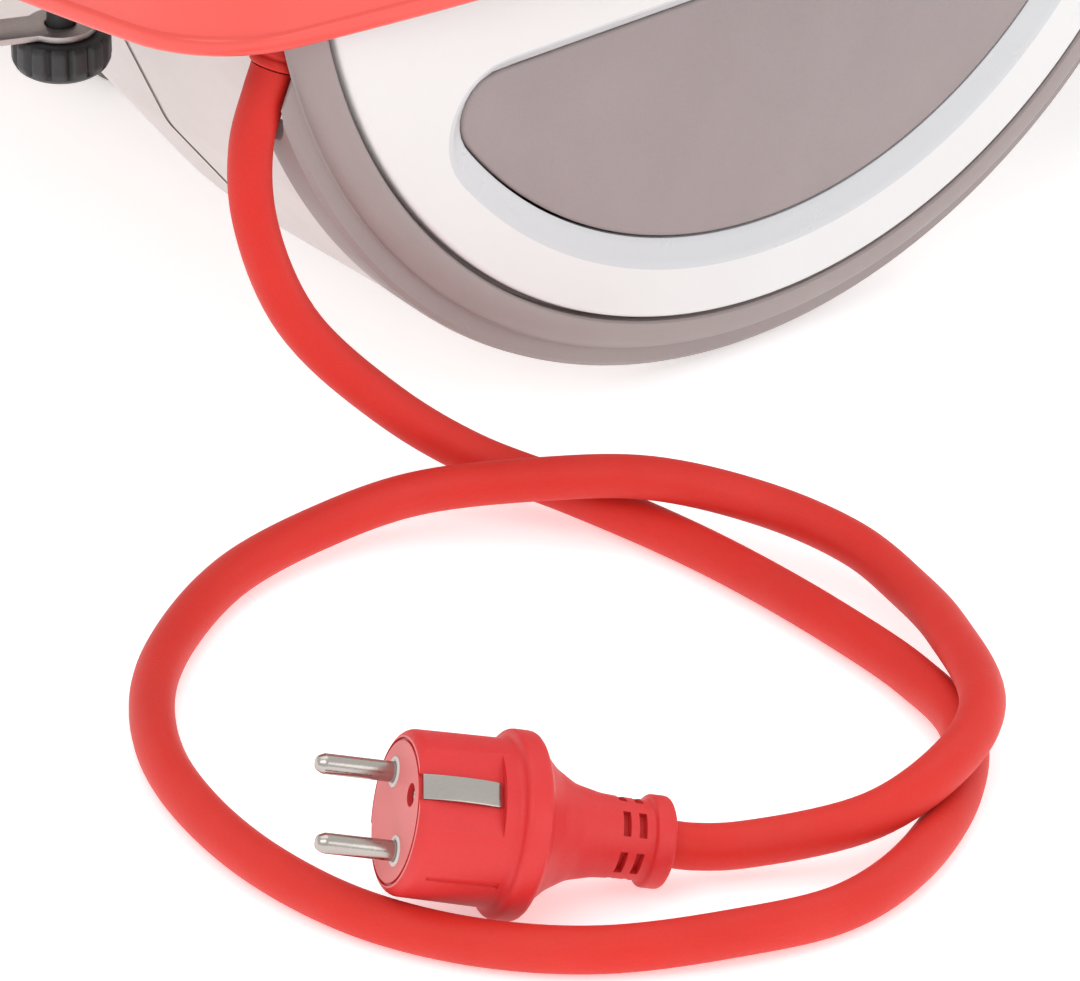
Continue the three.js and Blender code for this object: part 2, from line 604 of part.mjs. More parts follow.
function addMotor() {
  const front = -12;
  const rear = 118;
  add('motor_housing', finnedHousing(front, rear), FINISH.aluminium(), 0, 0, MOTOR_Z);
  add('stator', tube(32, 50 - GAP, front + 14, rear - 14, 'y', 24), FINISH.copper(), 0, 0, MOTOR_Z);
  const shaft = turned([[0, -44], [SHAFT_R, -44], [SHAFT_R, front + 18], [30, front + 18],
    [30, rear - 18], [SHAFT_R, rear - 18], [SHAFT_R, 146], [0, 146]], 'y');
  add('rotor_shaft', shaft, FINISH.steel(), 0, 0, MOTOR_Z);
  [['front', front - 6 - GAP, 6], ['rear', rear + GAP, 6]].forEach(([end, y, depth]) => {
    add(`bearing_${end}`, tube(SHAFT_R + GAP, 17, y, y + depth, 'y', 16), FINISH.steel(), 0, 0, MOTOR_Z);
    add(`end_shield_${end}`, tube(17 + GAP, 58, y, y + depth, 'y', 24), FINISH.castIron(), 0, 0, MOTOR_Z);
  });
  const blade = block(-1.5, 1.5, 128, 142, 10, 46);
  const blades = Array.from({ length: 7 }, (_, i) => blade.rotate([0, (i * 360) / 7, 0]));
  const hub = tube(SHAFT_R + GAP, 14, 126, 143, 'y', 16);
  add('cooling_fan', cut(join(hub, ...blades), disc(SHAFT_R + GAP, 120, 150, 'y', 16)), FINISH.black(),
    0, 0, MOTOR_Z);
  const slots = Array.from({ length: 8 }, (_, i) =>
    block(-2.5, 2.5, 140, 160, 16, 40).rotate([0, (i * 360) / 8, 0]));
  const cowl = turned([[49, 126], [52, 126], [52, 152], [0, 152], [0, 149], [49, 149], [49, 126]], 'y', 24);
  add('fan_cowl', cut(cowl, ...slots), FINISH.black(), 0, 0, MOTOR_Z);
}

function addPump() {
  const back = -12 - 6 - 2 * GAP;
  const crankFront = -86;
  const bores = (r, y0, y1) => [0, 120, 240].map((a) =>
    disc(r, y0, y1, 'y').translate([0, 0, PISTON_CIRCLE_R]).rotate([0, a, 0]));
  const crank = turned([[44, back], [50, back], [50, crankFront], [0, crankFront], [0, crankFront + 6],
    [44, crankFront + 6], [44, back]], 'y', 24);
  add('crankcase', cut(crank, ...bores(PISTON_R + GAP, -100, -70)), FINISH.aluminium(), 0, 0, MOTOR_Z);
  const swash = cut(disc(34, -62, -20, 'y'), block(-60, 60, -30, 30, -60, 60)
    .rotate([-12, 0, 0]).translate([0, -84, 0]), disc(SHAFT_R + GAP, -44 - GAP, 0, 'y', 16));
  add('swash_plate', swash, FINISH.steel(), 0, 0, MOTOR_Z);
  [0, 120, 240].forEach((a, i) => {
    const piston = turned([[0, 0], [10, 0], [10, -3], [PISTON_R, -3], [PISTON_R, -42], [0, -42]], 'y');
    const c = rad(a);
    add(`piston_${i + 1}`, piston, FINISH.steel(), PISTON_CIRCLE_R * Math.sin(c), -69.5,
      MOTOR_Z + PISTON_CIRCLE_R * Math.cos(c));
  });
  const headBack = crankFront - GAP;
  const headFront = -136;
  const head = cut(prismY(roundedRectangle(96, 100, 10), headFront, headBack),
    ...bores(PISTON_R + GAP, -124, -80));
  add('pump_head', head, FINISH.brass(), 0, 0, MOTOR_Z);
  const unloader = turned([[0, 0], [11, 0], [11, 24], [8, 26], [8, 40], [0, 40]], 'z', 16);
  add('unloader_valve', unloader, FINISH.brass(), 26, -112, MOTOR_Z + 48 + GAP);
}

function addElectrics() {
  add('capacitor', turned([[0, 0], [19, 0], [19, 84], [17, 86], [0, 86]], 'y', 16), FINISH.aluminium(),
    -88, 20, 172);
  add('switch_box', block(34, 92, -178, -150, 188, 244), FINISH.black());
}

function addChassis() {
  const tray = block(-78, 78, -88, 88, 70, 73);
  const cradles = [4, 74].map((y) => cut(block(-40, 40, y, y + 8, 72, 156),
    disc(MOTOR_R + 1.2, -20, 140, 'y', 24).translate([0, 0, MOTOR_Z])));
  const posts = SIDES.flatMap(([, s]) => [-78, 78].map((y) =>
    block(s * 70 - 6, s * 70 + 6, y - 6, y + 6, 72, DECK_Z - GAP)));
  add('chassis_tray', join(tray, ...cradles, ...posts), FINISH.steel());
}

// ---------------------------------------------------------------- mains lead and plug
// the middle line of the lead, from the strain relief to the plug's collar
const CORD_ROUTE = [
  [165, -194, 123.6], [165, -196.6, 117.65], [165, -201, 105], [167, -202, 86],
  [171, -193, 57], [180, -172, 30], [192, -155, 15], [212, -140.5, 8],
  [242, -132.5, 6], [268, -130, 6], [300, -129.5, 6], [331, -131.5, 6],
  [357, -139.5, 7], [377, -158.5, 6], [393, -188, 6], [397, -212, 6],
  [391, -238, 7], [376, -265, 6], [357, -284, 6], [332, -297, 6],
  [303, -302, 6], [274, -300, 6], [247, -292, 6], [222, -276, 6],
  [204, -255, 6], [191, -228, 7], [189, -200, 9], [196, -177, 13],
  [215, -153, 17], [235, -133, 19], [258, -115, 15], [282, -107.5, 12],
  [306, -110.5, 11], [330, -120, 14], [367, -142.5, 19], [379.5, -163.5, 18],
  [380, -188, 13], [366, -215, 9], [360.5, -224.8, 9.7], [357.3, -231.3, 11.6],
];
const CORD_EXIT = { x: CORD_ROUTE[0][0], y: CORD_ROUTE[0][1] - AXIS_Y, z: CORD_ROUTE[0][2] };
const CORD_LEAN = 23.6;           // degrees that the lead leans forward where it comes out
const RELIEF_NECK_R = 6.2;
const PLUG_FACE = V3(329.9, -287.6, 29.1);
const PLUG_YAW = rad(244);
const PLUG_TILT = rad(15.5);
const PLUG_ROLL = rad(140.8);
const PLUG_LENGTH = 64.5;

// a piece made along +Z at the origin, put on the leaning line on which the lead comes out
function onExitLine(solid) {
  return solid.rotate([-CORD_LEAN, 0, 0]).translate([CORD_EXIT.x, CORD_EXIT.y, CORD_EXIT.z]);
}

function addStrainRelief() {
  const neck = 14.4;
  const top = 36;
  const relief = turned([[0, GAP], [6, GAP], [6.4, 1.4], [6.9, neck], [RELIEF_NECK_R, neck],
    [RELIEF_NECK_R, top], [0, top]], 'z', 16);
  add('strain_relief', onExitLine(relief), FINISH.redRubber());
  const z = DECK_Z + DECK_THICKNESS + GAP;
  const height = 8;
  const shift = (z + height / 2 - CORD_EXIT.z) * Math.tan(rad(CORD_LEAN));
  const nut = disc(11.5, z, z + height, 'z', 6).translate([CORD_EXIT.x, CORD_EXIT.y + shift, 0]);
  const bore = onExitLine(disc(RELIEF_NECK_R + GAP, 0, top + 10, 'z', 16));
  add('cable_gland_nut', cut(nut, bore), FINISH.black());
}

function plugPlacement() {
  const a = V3(Math.cos(PLUG_TILT) * Math.cos(PLUG_YAW), Math.cos(PLUG_TILT) * Math.sin(PLUG_YAW),
    Math.sin(PLUG_TILT));
  const h = V3(-Math.sin(PLUG_YAW), Math.cos(PLUG_YAW), 0);
  const v = a.clone().cross(h);
  const p = h.multiplyScalar(Math.cos(PLUG_ROLL)).addScaledVector(v, Math.sin(PLUG_ROLL));
  const q = a.clone().cross(p);
  return new THREE.Matrix4().makeBasis(p, q, a).setPosition(PLUG_FACE);
}

// the plug is made with its face at the origin, its pins along +Z and side by side along X
function addPlug() {
  const plug = new THREE.Group();
  plug.applyMatrix4(plugPlacement());
  washer.add(plug);
  const body = turned([[0, 0], [17.6, 0], [19, -1.6], [19.4, -24], [21.8, -25], [21.8, -30.4],
    [18.5, -31.6], [14, -36], [10.6, -43], [9.3, -50], [9.3, -59.4], [10.75, -59.8], [10.75, -PLUG_LENGTH],
    [0, -PLUG_LENGTH]], 'z', 24);
  const flats = [-1, 1].map((s) => block(-12, 12, s * 19.4 - 4.2, s * 19.4 + 4.2, -20, 3)
    .translate([0, s * 1.4, 0]));
  const earthHole = disc(2.6, -16, 1, 'z', 16).translate([0, -11, 0]);
  const pinHoles = [-1, 1].map((s) => disc(2.4 + GAP, -12, 1, 'z', 16).translate([s * 9.5, 0, 0]));
  add('plug_body', cut(body, ...flats, earthHole, ...pinHoles), FINISH.redRubber(), 0, 0, 0, plug);
  [['upper', 1], ['lower', -1]].forEach(([name, s]) => {
    const pin = turned([[0, -11], [2.4, -11], [2.4, 17], [1.6, 18.6], [0, 19]], 'z', 12);
    add(`plug_pin_${name}`, pin, FINISH.steel(), s * 9.5, 0, 0, plug);
  });
  const clip = block(-3, 3, 16.9, 17.9, -19.6, -0.5);
  add('earth_clip', clip, FINISH.steel(), 0, 0, 0, plug);
}

function addCordTube() {
  const steps = 60;
  const sides = 8;
  const route = CORD_ROUTE.map((p) => V3(...p));
  const path = new THREE.CatmullRomCurve3(route, false, 'centripetal');
  const r = (CORD_D / 2) / Math.cos(Math.PI / sides) ** 0.5;
  const section = new THREE.Shape(arc(0, 0, r, 0, Math.PI * 2, sides));
  const geometry = new THREE.ExtrudeGeometry(section, { steps, extrudePath: path });
  const mesh = new THREE.Mesh(toGeometry(toSolid(geometry)), FINISH.redRubber());
  mesh.name = 'mains_cord';
  washer.add(mesh);
}

// ---------------------------------------------------------------- assembly
addBaseTub();
SIDES.forEach(([side, s]) => {
  addSideShell(side, s);
  addSidePanel(side, s);
  addFoot(side, s);
  addWheel(side, s);
  addLockButton(side, s);
});
addDeck();
addHood();
addFrontPanel();
addControls();
addClamp();
addRearFrame();
addHandle();
addMotor();
addPump();
addElectrics();
addChassis();
addStrainRelief();
addPlug();
addCordTube();

export default washer;
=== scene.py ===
import json
import math
import bmesh
import bpy
from mathutils import Matrix, Vector


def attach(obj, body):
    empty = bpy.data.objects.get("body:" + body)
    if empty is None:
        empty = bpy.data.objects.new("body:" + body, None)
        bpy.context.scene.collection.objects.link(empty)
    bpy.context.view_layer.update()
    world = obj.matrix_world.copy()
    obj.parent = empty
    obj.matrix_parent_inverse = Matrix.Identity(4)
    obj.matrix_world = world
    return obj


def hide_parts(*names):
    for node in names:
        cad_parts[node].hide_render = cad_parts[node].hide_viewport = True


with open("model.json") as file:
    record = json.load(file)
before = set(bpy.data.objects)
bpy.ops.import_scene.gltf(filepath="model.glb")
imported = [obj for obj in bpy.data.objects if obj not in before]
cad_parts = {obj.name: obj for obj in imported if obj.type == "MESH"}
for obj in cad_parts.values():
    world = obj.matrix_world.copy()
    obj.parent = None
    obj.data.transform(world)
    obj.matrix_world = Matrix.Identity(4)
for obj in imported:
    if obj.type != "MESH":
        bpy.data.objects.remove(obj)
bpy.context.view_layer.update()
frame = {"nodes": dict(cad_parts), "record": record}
SCENE = bpy.context.scene
SCENE.view_settings.view_transform = 'Standard'

TAU = math.tau
BODY = "machine"

# Sizes are millimetres: x to the right as seen from the front, y to the rear, z up from the floor.
AY, AZ = -43.0, 165.0         # axis of the half-drum body
DRUM_R = 162.5
DRUM_TOP = 140.0              # upper edge of the drum, just inside the hood's rim
WALL = 3.0                    # of the drum and of the hood
SEAM_X = 86.0                 # seam between the centre tub and a side shell
SEAM_GAP = 0.18               # half of that seam's width
HALF = 180.0                  # outer face of a side panel
PANEL_BACK = 174.0            # back of a side panel and of its inset
HOOD_X, HOOD_Y = 196.0, 204.0  # half width and half length of the hood
FRONT_BOW, SIDE_BOW = 694.0, 980.0  # radii of the hood's front, rear and side walls
TUBE_X, TUBE_Y = 118, 176     # handle tubes and their sleeves
AXLE_Y, AXLE_Z = 203, 75
HANDLE_TOP = 452

# Camera, in metres and in millimetres of focal length
CAMERA_AT = (1.4320, -1.1443, 0.8984)
CAMERA_LOOKS_AT = (0.19658, -0.13668, 0)
LENS = 243.33


# ---------------------------------------------------------------- camera and light
def look(obj, at):
    obj.rotation_euler = (Vector(at) - obj.location).to_track_quat('-Z', 'Y').to_euler()


def add_camera():
    data = bpy.data.cameras.new("view")
    data.lens = LENS
    data.sensor_width = 36
    data.clip_end = 50
    camera = bpy.data.objects.new("view", data)
    SCENE.collection.objects.link(camera)
    camera.location = CAMERA_AT
    look(camera, CAMERA_LOOKS_AT)
    SCENE.camera = camera


def add_light(name, place, at, size, power):
    data = bpy.data.lights.new(name, 'AREA')
    data.shape = 'DISK'
    data.size = size
    data.energy = power
    light = bpy.data.objects.new(name, data)
    SCENE.collection.objects.link(light)
    light.location = place
    look(light, at)


# ---------------------------------------------------------------- materials
def nodes_of(name):
    made = bpy.data.materials.new(name)
    made.use_nodes = True
    tree = made.node_tree
    return made, tree, tree.nodes["Principled BSDF"]


def noise(tree, coords, scale, detail=4.0, rough=0.6):
    node = tree.nodes.new("ShaderNodeTexNoise")
    node.inputs["Scale"].default_value = scale
    node.inputs["Detail"].default_value = detail
    node.inputs["Roughness"].default_value = rough
    tree.links.new(coords, node.inputs["Vector"])
    return node.outputs["Fac"]


def ramp(tree, fac, low, high, a=0.3, b=0.7):
    node = tree.nodes.new("ShaderNodeValToRGB")
    node.color_ramp.elements[0].position = a
    node.color_ramp.elements[1].position = b
    node.color_ramp.elements[0].color = (*low, 1)
    node.color_ramp.elements[1].color = (*high, 1)
    tree.links.new(fac, node.inputs["Fac"])
    return node.outputs["Color"]


def spread(tree, fac, low, high):
    node = tree.nodes.new("ShaderNodeMapRange")
    node.inputs["From Min"].default_value = 0.3
    node.inputs["From Max"].default_value = 0.7
    node.inputs["To Min"].default_value = low
    node.inputs["To Max"].default_value = high
    tree.links.new(fac, node.inputs["Value"])
    return node.outputs["Result"]


def mixed(tree, kind, fac, a, b):
    node = tree.nodes.new("ShaderNodeMix")
    node.data_type = 'RGBA'
    node.blend_type = kind
    if isinstance(fac, float):
        node.inputs[0].default_value = fac
    else:
        tree.links.new(fac, node.inputs[0])
    tree.links.new(a, node.inputs[6])
    if isinstance(b, tuple):
        node.inputs[7].default_value = (*b, 1)
    else:
        tree.links.new(b, node.inputs[7])
    return node.outputs[2]


def clip(v):
    return min(1.0, max(0.0, v))


def surface(name, colour, rough=0.5, metal=0.0, grain=700.0, bump=0.2, depth=0.0002, vary=0.05,
            cloud=16.0, coat=0.0, stretch=(1, 1, 1), dust=0.0, sheen=0.0, specular=0.5, scuff=0.0):
    """Procedural finish: colour clouds, uneven gloss, fine grain, a few scuffs and floor dust."""
    made, tree, shader = nodes_of(name)
    coords = tree.nodes.new("ShaderNodeTexCoord").outputs["Object"]
    mapping = tree.nodes.new("ShaderNodeMapping")
    mapping.inputs["Scale"].default_value = stretch
    tree.links.new(coords, mapping.inputs["Vector"])
    lined = mapping.outputs["Vector"]
    low = tuple(clip(c * (1 - vary)) for c in colour)
    high = tuple(clip(c * (1 + vary)) for c in colour)
    colour_out = ramp(tree, noise(tree, coords, cloud, 5.0), low, high)
    fine = noise(tree, lined, grain, 3.0, 0.5)
    fine_mask = ramp(tree, fine, (1 - vary,) * 3, (1, 1, 1), 0.35, 0.6)
    colour_out = mixed(tree, 'MULTIPLY', 0.6, colour_out, fine_mask)
    if scuff:
        marks = ramp(tree, noise(tree, lined, 55.0, 8.0, 0.75), (0, 0, 0), (1, 1, 1), 0.66, 0.74)
        pale = tuple(clip(c * 0.6 + 0.4) for c in colour)
        weight = tree.nodes.new("ShaderNodeMath")
        weight.operation = 'MULTIPLY'
        weight.inputs[1].default_value = scuff
        tree.links.new(marks, weight.inputs[0])
        colour_out = mixed(tree, 'MIX', weight.outputs[0], colour_out, pale)
    if dust:
        split = tree.nodes.new("ShaderNodeSeparateXYZ")
        tree.links.new(coords, split.inputs[0])
        fall = tree.nodes.new("ShaderNodeMapRange")
        fall.inputs["From Min"].default_value = 0.0
        fall.inputs["From Max"].default_value = 0.09
        fall.inputs["To Min"].default_value = dust
        fall.inputs["To Max"].default_value = 0.0
        tree.links.new(split.outputs["Z"], fall.inputs["Value"])
        patch = tree.nodes.new("ShaderNodeMath")
        patch.operation = 'MULTIPLY'
        tree.links.new(fall.outputs["Result"], patch.inputs[0])
        tree.links.new(spread(tree, noise(tree, coords, 40.0, 6.0), 0.2, 1.0), patch.inputs[1])
        colour_out = mixed(tree, 'MIX', patch.outputs[0], colour_out, (0.42, 0.37, 0.32))
    tree.links.new(colour_out, shader.inputs["Base Color"])
    shader.inputs["Metallic"].default_value = metal
    shader.inputs["Specular IOR Level"].default_value = specular
    shader.inputs["Coat Weight"].default_value = coat
    shader.inputs["Coat Roughness"].default_value = 0.18
    if sheen:
        shader.inputs["Sheen Weight"].default_value = sheen
        shader.inputs["Sheen Roughness"].default_value = 0.5
    gloss = spread(tree, noise(tree, lined, 45.0, 5.0), max(0.04, rough - 0.06), min(1.0, rough + 0.07))
    tree.links.new(gloss, shader.inputs["Roughness"])
    relief = tree.nodes.new("ShaderNodeBump")
    relief.inputs["Strength"].default_value = bump
    relief.inputs["Distance"].default_value = depth
    tree.links.new(fine, relief.inputs["Height"])
    tree.links.new(relief.outputs["Normal"], shader.inputs["Normal"])
    return made


# Colour, roughness and the further settings of surface()
FINISHES = {
    "hood_red": ((0.72, 0.064, 0.047), 0.34, dict(grain=900, bump=0.12, vary=0.03, coat=0.25, scuff=0.05)),
    "body_grey": ((0.62, 0.555, 0.54), 0.46, dict(grain=1500, bump=0.25, vary=0.03, dust=0.12, scuff=0.06)),
    "ring_grey": ((0.30, 0.25, 0.243), 0.5, dict(grain=1500, bump=0.25, vary=0.04, dust=0.1, scuff=0.06)),
    "panel_silver": ((0.685, 0.68, 0.675), 0.33,
                     dict(grain=1800, bump=0.1, vary=0.015, coat=0.15, scuff=0.04)),
    # darker, bluer copy of the panel silver for the bezel's sloping faces: painted shade on the slope; its
    # slightly different gloss and coat are its finish
    "bezel_silver_painted_shade": ((0.55, 0.565, 0.58), 0.3, dict(grain=1800, bump=0.1, vary=0.015, coat=0.2, scuff=0.03)),
    "inset_grey": ((0.298, 0.249, 0.247), 0.58, dict(grain=1300, bump=0.45, vary=0.05, dust=0.1)),
    "black_plastic": ((0.022, 0.021, 0.022), 0.48,
                      dict(grain=1200, bump=0.4, vary=0.25, scuff=0.03, dust=0.1)),
    "black_paint": ((0.018, 0.018, 0.019), 0.38, dict(grain=1400, bump=0.3, vary=0.2, scuff=0.05, dust=0.2)),
    "red_plastic": ((0.62, 0.045, 0.032), 0.4, dict(grain=1200, bump=0.2, vary=0.05)),
    "cord_red": ((0.61, 0.020, 0.012), 0.56,
                 dict(grain=1600, bump=0.35, vary=0.06, sheen=0.03, dust=0.03, specular=0.3)),
    "plug_red": ((0.60, 0.024, 0.025), 0.45, dict(grain=1100, bump=0.3, vary=0.05, dust=0.03, specular=0.35)),
    "plug_face": ((0.66, 0.18, 0.175), 0.55, dict(grain=1300, bump=0.3, vary=0.05)),
    "white_ring": ((0.62, 0.60, 0.585), 0.5, dict(grain=1500, bump=0.2, vary=0.04)),
    "foot_rubber": ((0.02, 0.02, 0.021), 0.78, dict(grain=900, bump=0.5, vary=0.3, dust=0.4)),
    "grip_rubber": ((0.017, 0.017, 0.018), 0.7, dict(grain=1400, bump=0.6, vary=0.3, sheen=0.1)),
    "tyre_rubber": ((0.018, 0.018, 0.018), 0.8, dict(grain=800, bump=0.6, vary=0.3, dust=0.45)),
    "steel": ((0.45, 0.44, 0.43), 0.28,
              dict(metal=1.0, grain=260, bump=0.12, vary=0.06, stretch=(1, 14, 14))),
    "strip_metal": ((0.52, 0.47, 0.45), 0.42,
                    dict(metal=1.0, grain=420, bump=0.5, depth=0.0003, vary=0.14, stretch=(9, 2.5, 12))),
    "nickel": ((0.42, 0.39, 0.36), 0.2, dict(metal=1.0, grain=500, bump=0.1, vary=0.06, stretch=(6, 1, 6))),
    "cast_iron": ((0.16, 0.165, 0.17), 0.66, dict(metal=0.6, grain=420, bump=0.8, depth=0.0005, vary=0.2)),
    "aluminium": ((0.52, 0.53, 0.54), 0.42, dict(metal=1.0, grain=500, bump=0.5, depth=0.0004, vary=0.1)),
    "brass": ((0.56, 0.385, 0.13), 0.28,
              dict(metal=1.0, grain=320, bump=0.15, vary=0.1, stretch=(10, 1, 10))),
    "winding": ((0.45, 0.17, 0.07), 0.42,
                dict(metal=0.7, grain=260, bump=0.8, depth=0.0006, vary=0.2, stretch=(1, 9, 1))),
    "gauge_dial": ((0.66, 0.66, 0.645), 0.5, dict(grain=900, bump=0.05, vary=0.02)),
}
MAT = {name: surface(name, colour, rough, **more) for name, (colour, rough, more) in FINISHES.items()}


def lens_material():
    made, tree, shader = nodes_of("lens")
    coords = tree.nodes.new("ShaderNodeTexCoord").outputs["Object"]
    haze = noise(tree, coords, 120.0, 6.0)
    tree.links.new(spread(tree, haze, 0.02, 0.09), shader.inputs["Roughness"])
    shader.inputs["Base Color"].default_value = (0.94, 0.97, 0.98, 1)
    shader.inputs["Transmission Weight"].default_value = 1.0
    shader.inputs["IOR"].default_value = 1.45
    return made


MAT["lens"] = lens_material()


# ---------------------------------------------------------------- mesh helpers
def finish_mesh(name, points, faces, material, body=BODY, sharp=35, matrix=None, ride=True, extra=()):
    """A smooth-shaded closed piece from points in millimetres; extra gives further material slots."""
    data = bpy.data.meshes.new(name)
    data.from_pydata([tuple(c * 0.001 for c in p) for p in points], [], faces)
    build = bmesh.new()
    build.from_mesh(data)
    bmesh.ops.remove_doubles(build, verts=build.verts, dist=2e-6)
    bmesh.ops.dissolve_degenerate(build, edges=build.edges, dist=1e-6)
    bmesh.ops.recalc_face_normals(build, faces=build.faces)
    build.to_mesh(data)
    build.free()
    if matrix is not None:
        data.transform(matrix)
    data.materials.append(MAT[material])
    for other in extra:
        data.materials.append(MAT[other])
    shade(data, sharp)
    obj = bpy.data.objects.new(name, data)
    SCENE.collection.objects.link(obj)
    if ride:
        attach(obj, body)
    return obj


def shade(data, sharp):
    data.polygons.foreach_set("use_smooth", [True] * len(data.polygons))
    data.set_sharp_from_angle(angle=math.radians(sharp))


def skin(rings, wrap=True, caps=True):
    """Points and faces of a skin over rings with the same count."""
    count = len(rings[0])
    points = [p for ring in rings for p in ring]
    faces = []
    for r in range(len(rings) - 1):
        for i in range(count if wrap else count - 1):
            j = (i + 1) % count
            faces.append((r * count + i, r * count + j, (r + 1) * count + j, (r + 1) * count + i))
    if caps:
        faces.append(tuple(range(count))[::-1])
        faces.append(tuple((len(rings) - 1) * count + i for i in range(count)))
    return points, faces


def merge(*parts):
    points, faces = [], []
    for more_points, more_faces in parts:
        base = len(points)
        points += more_points
        faces += [tuple(i + base for i in f) for f in more_faces]
    return points, faces


def turned(profile, axis='z', at=(0, 0, 0), segments=72, radius=None, flip=1):
    """A turned piece: the profile is (radius, distance along the axis); radius(angle, r, t) may vary it."""
    rings = []
    for r, t in profile:
        ring = []
        for k in range(segments):
            a = TAU * k / segments
            rr = radius(a, r, t) if radius else r
            u, v = rr * math.cos(a), rr * math.sin(a)
            d = t * flip
            p = {'x': (d, u, v), 'y': (v, d, u), 'z': (u, v, d)}[axis]
            ring.append((p[0] + at[0], p[1] + at[1], p[2] + at[2]))
        rings.append(ring)
    return skin(rings, caps=False)


def rounded(profile, r=0.8, steps=4, closed=False):
    """The profile with its corners rounded."""
    out = []
    count = len(profile)
    for i, p in enumerate(profile):
        if not closed and i in (0, count - 1):
            out.append(p)
            continue
        a, b = profile[i - 1], profile[(i + 1) % count]
        pa, pb = Vector(a) - Vector(p), Vector(b) - Vector(p)
        if pa.length < 1e-6 or pb.length < 1e-6:
            out.append(p)
            continue
        cut = min(r, pa.length * 0.45, pb.length * 0.45)
        s, e = Vector(p) + pa.normalized() * cut, Vector(p) + pb.normalized() * cut
        for k in range(steps + 1):
            t = k / steps
            q = s * (1 - t) ** 2 + Vector(p) * 2 * t * (1 - t) + e * t ** 2
            out.append(tuple(q))
    if closed:
        out.append(out[0])
    return out


def rod(r, t0, t1):
    """Profile of a plain round bar."""
    return [(0, t0), (r, t0), (r, t1), (0, t1)]


def tube(r0, r1, t0, t1):
    """Profile of a plain round tube, without its closing point."""
    return [(r0, t0), (r1, t0), (r1, t1), (r0, t1)]


def bar(path, r, sides):
    """A round tube along points in millimetres, with frames carried along the path."""
    pts = [Vector(p) for p in path]
    tangents = []
    for i in range(len(pts)):
        a, b = pts[max(0, i - 1)], pts[min(len(pts) - 1, i + 1)]
        tangents.append((b - a).normalized())
    up = Vector((0, 0, 1)) if abs(tangents[0].z) < 0.9 else Vector((0, 1, 0))
    normal = (up - tangents[0] * up.dot(tangents[0])).normalized()
    rings = []
    for p, t in zip(pts, tangents):
        normal = (normal - t * normal.dot(t)).normalized()
        side = t.cross(normal)
        rings.append([tuple(p + normal * r * math.cos(TAU * k / sides) + side * r * math.sin(TAU * k / sides))
                      for k in range(sides)])
    return skin(rings)


def box(x0, x1, y0, y1, z0, z1):
    points = [(x, y, z) for x in (x0, x1) for y in (y0, y1) for z in (z0, z1)]
    faces = [(0, 1, 3, 2), (4, 6, 7, 5), (0, 4, 5, 1), (2, 3, 7, 6), (0, 2, 6, 4), (1, 5, 7, 3)]
    return points, faces


def bevel(obj, width, segments=3, angle=35):
    mod = obj.modifiers.new("bevel", 'BEVEL')
    mod.width = width * 0.001
    mod.segments = segments
    mod.limit_method = 'ANGLE'
    mod.angle_limit = math.radians(angle)
    mod.harden_normals = False
    settle(obj)


def settle(obj, sharp=35):
    """The object's modifiers become part of its mesh."""
    depsgraph = bpy.context.evaluated_depsgraph_get()
    made = bpy.data.meshes.new_from_object(obj.evaluated_get(depsgraph))
    old = obj.data
    obj.modifiers.clear()
    obj.data = made
    bpy.data.meshes.remove(old)
    shade(made, sharp)


def cut(obj, *cutters, sharp=35):
    for cutter in cutters:
        mod = obj.modifiers.new("cut", 'BOOLEAN')
        mod.operation = 'DIFFERENCE'
        mod.solver = 'EXACT'
        mod.object = cutter
    settle(obj, sharp)
    for cutter in cutters:
        bpy.data.objects.remove(cutter)


def raw(name, shape, matrix=None):
    return finish_mesh(name, *shape, "black_plastic", ride=False, matrix=matrix)


def arc_points(cy, cz, r, a0, a1, steps, last=True):
    n = steps + 1 if last else steps
    return [(cy + r * math.cos(a0 + (a1 - a0) * i / steps), cz + r * math.sin(a0 + (a1 - a0) * i / steps))
            for i in range(n)]


# ---------------------------------------------------------------- mains cord, its sleeve and its plug
CORD_ROUTE = [
    (165, -194, 123.6), (165, -196.6, 117.65), (165, -201, 105), (167, -202, 86),
    (171, -193, 57), (180, -172, 30), (192, -155, 15), (212, -140.5, 8),
    (242, -132.5, 6), (268, -130, 6), (300, -129.5, 6), (331, -131.5, 6),
    (357, -139.5, 7), (377, -158.5, 6), (393, -188, 6), (397, -212, 6),
    (391, -238, 7), (376, -265, 6), (357, -284, 6), (332, -297, 6),
    (303, -302, 6), (274, -300, 6), (247, -292, 6), (222, -276, 6),
    (204, -255, 6), (191, -228, 7), (189, -200, 9), (196, -177, 13),
    (215, -153, 17), (235, -133, 19), (258, -115, 15), (282, -107.5, 12),
    (306, -110.5, 11), (330, -120, 14), (367, -142.5, 19), (379.5, -163.5, 18),
    (380, -188, 13), (366, -215, 9), (360.5, -224.8, 9.7), (357.3, -231.3, 11.6),
]
CORD_D = 11.0
NOTCH_R = 7.4                 # of the shell's notch round the cord
PIN_X = 9.5                   # a pin's place from the middle of the plug
CONTACT_AT = (0, -11, 0)      # the earth contact's socket in the plug's face


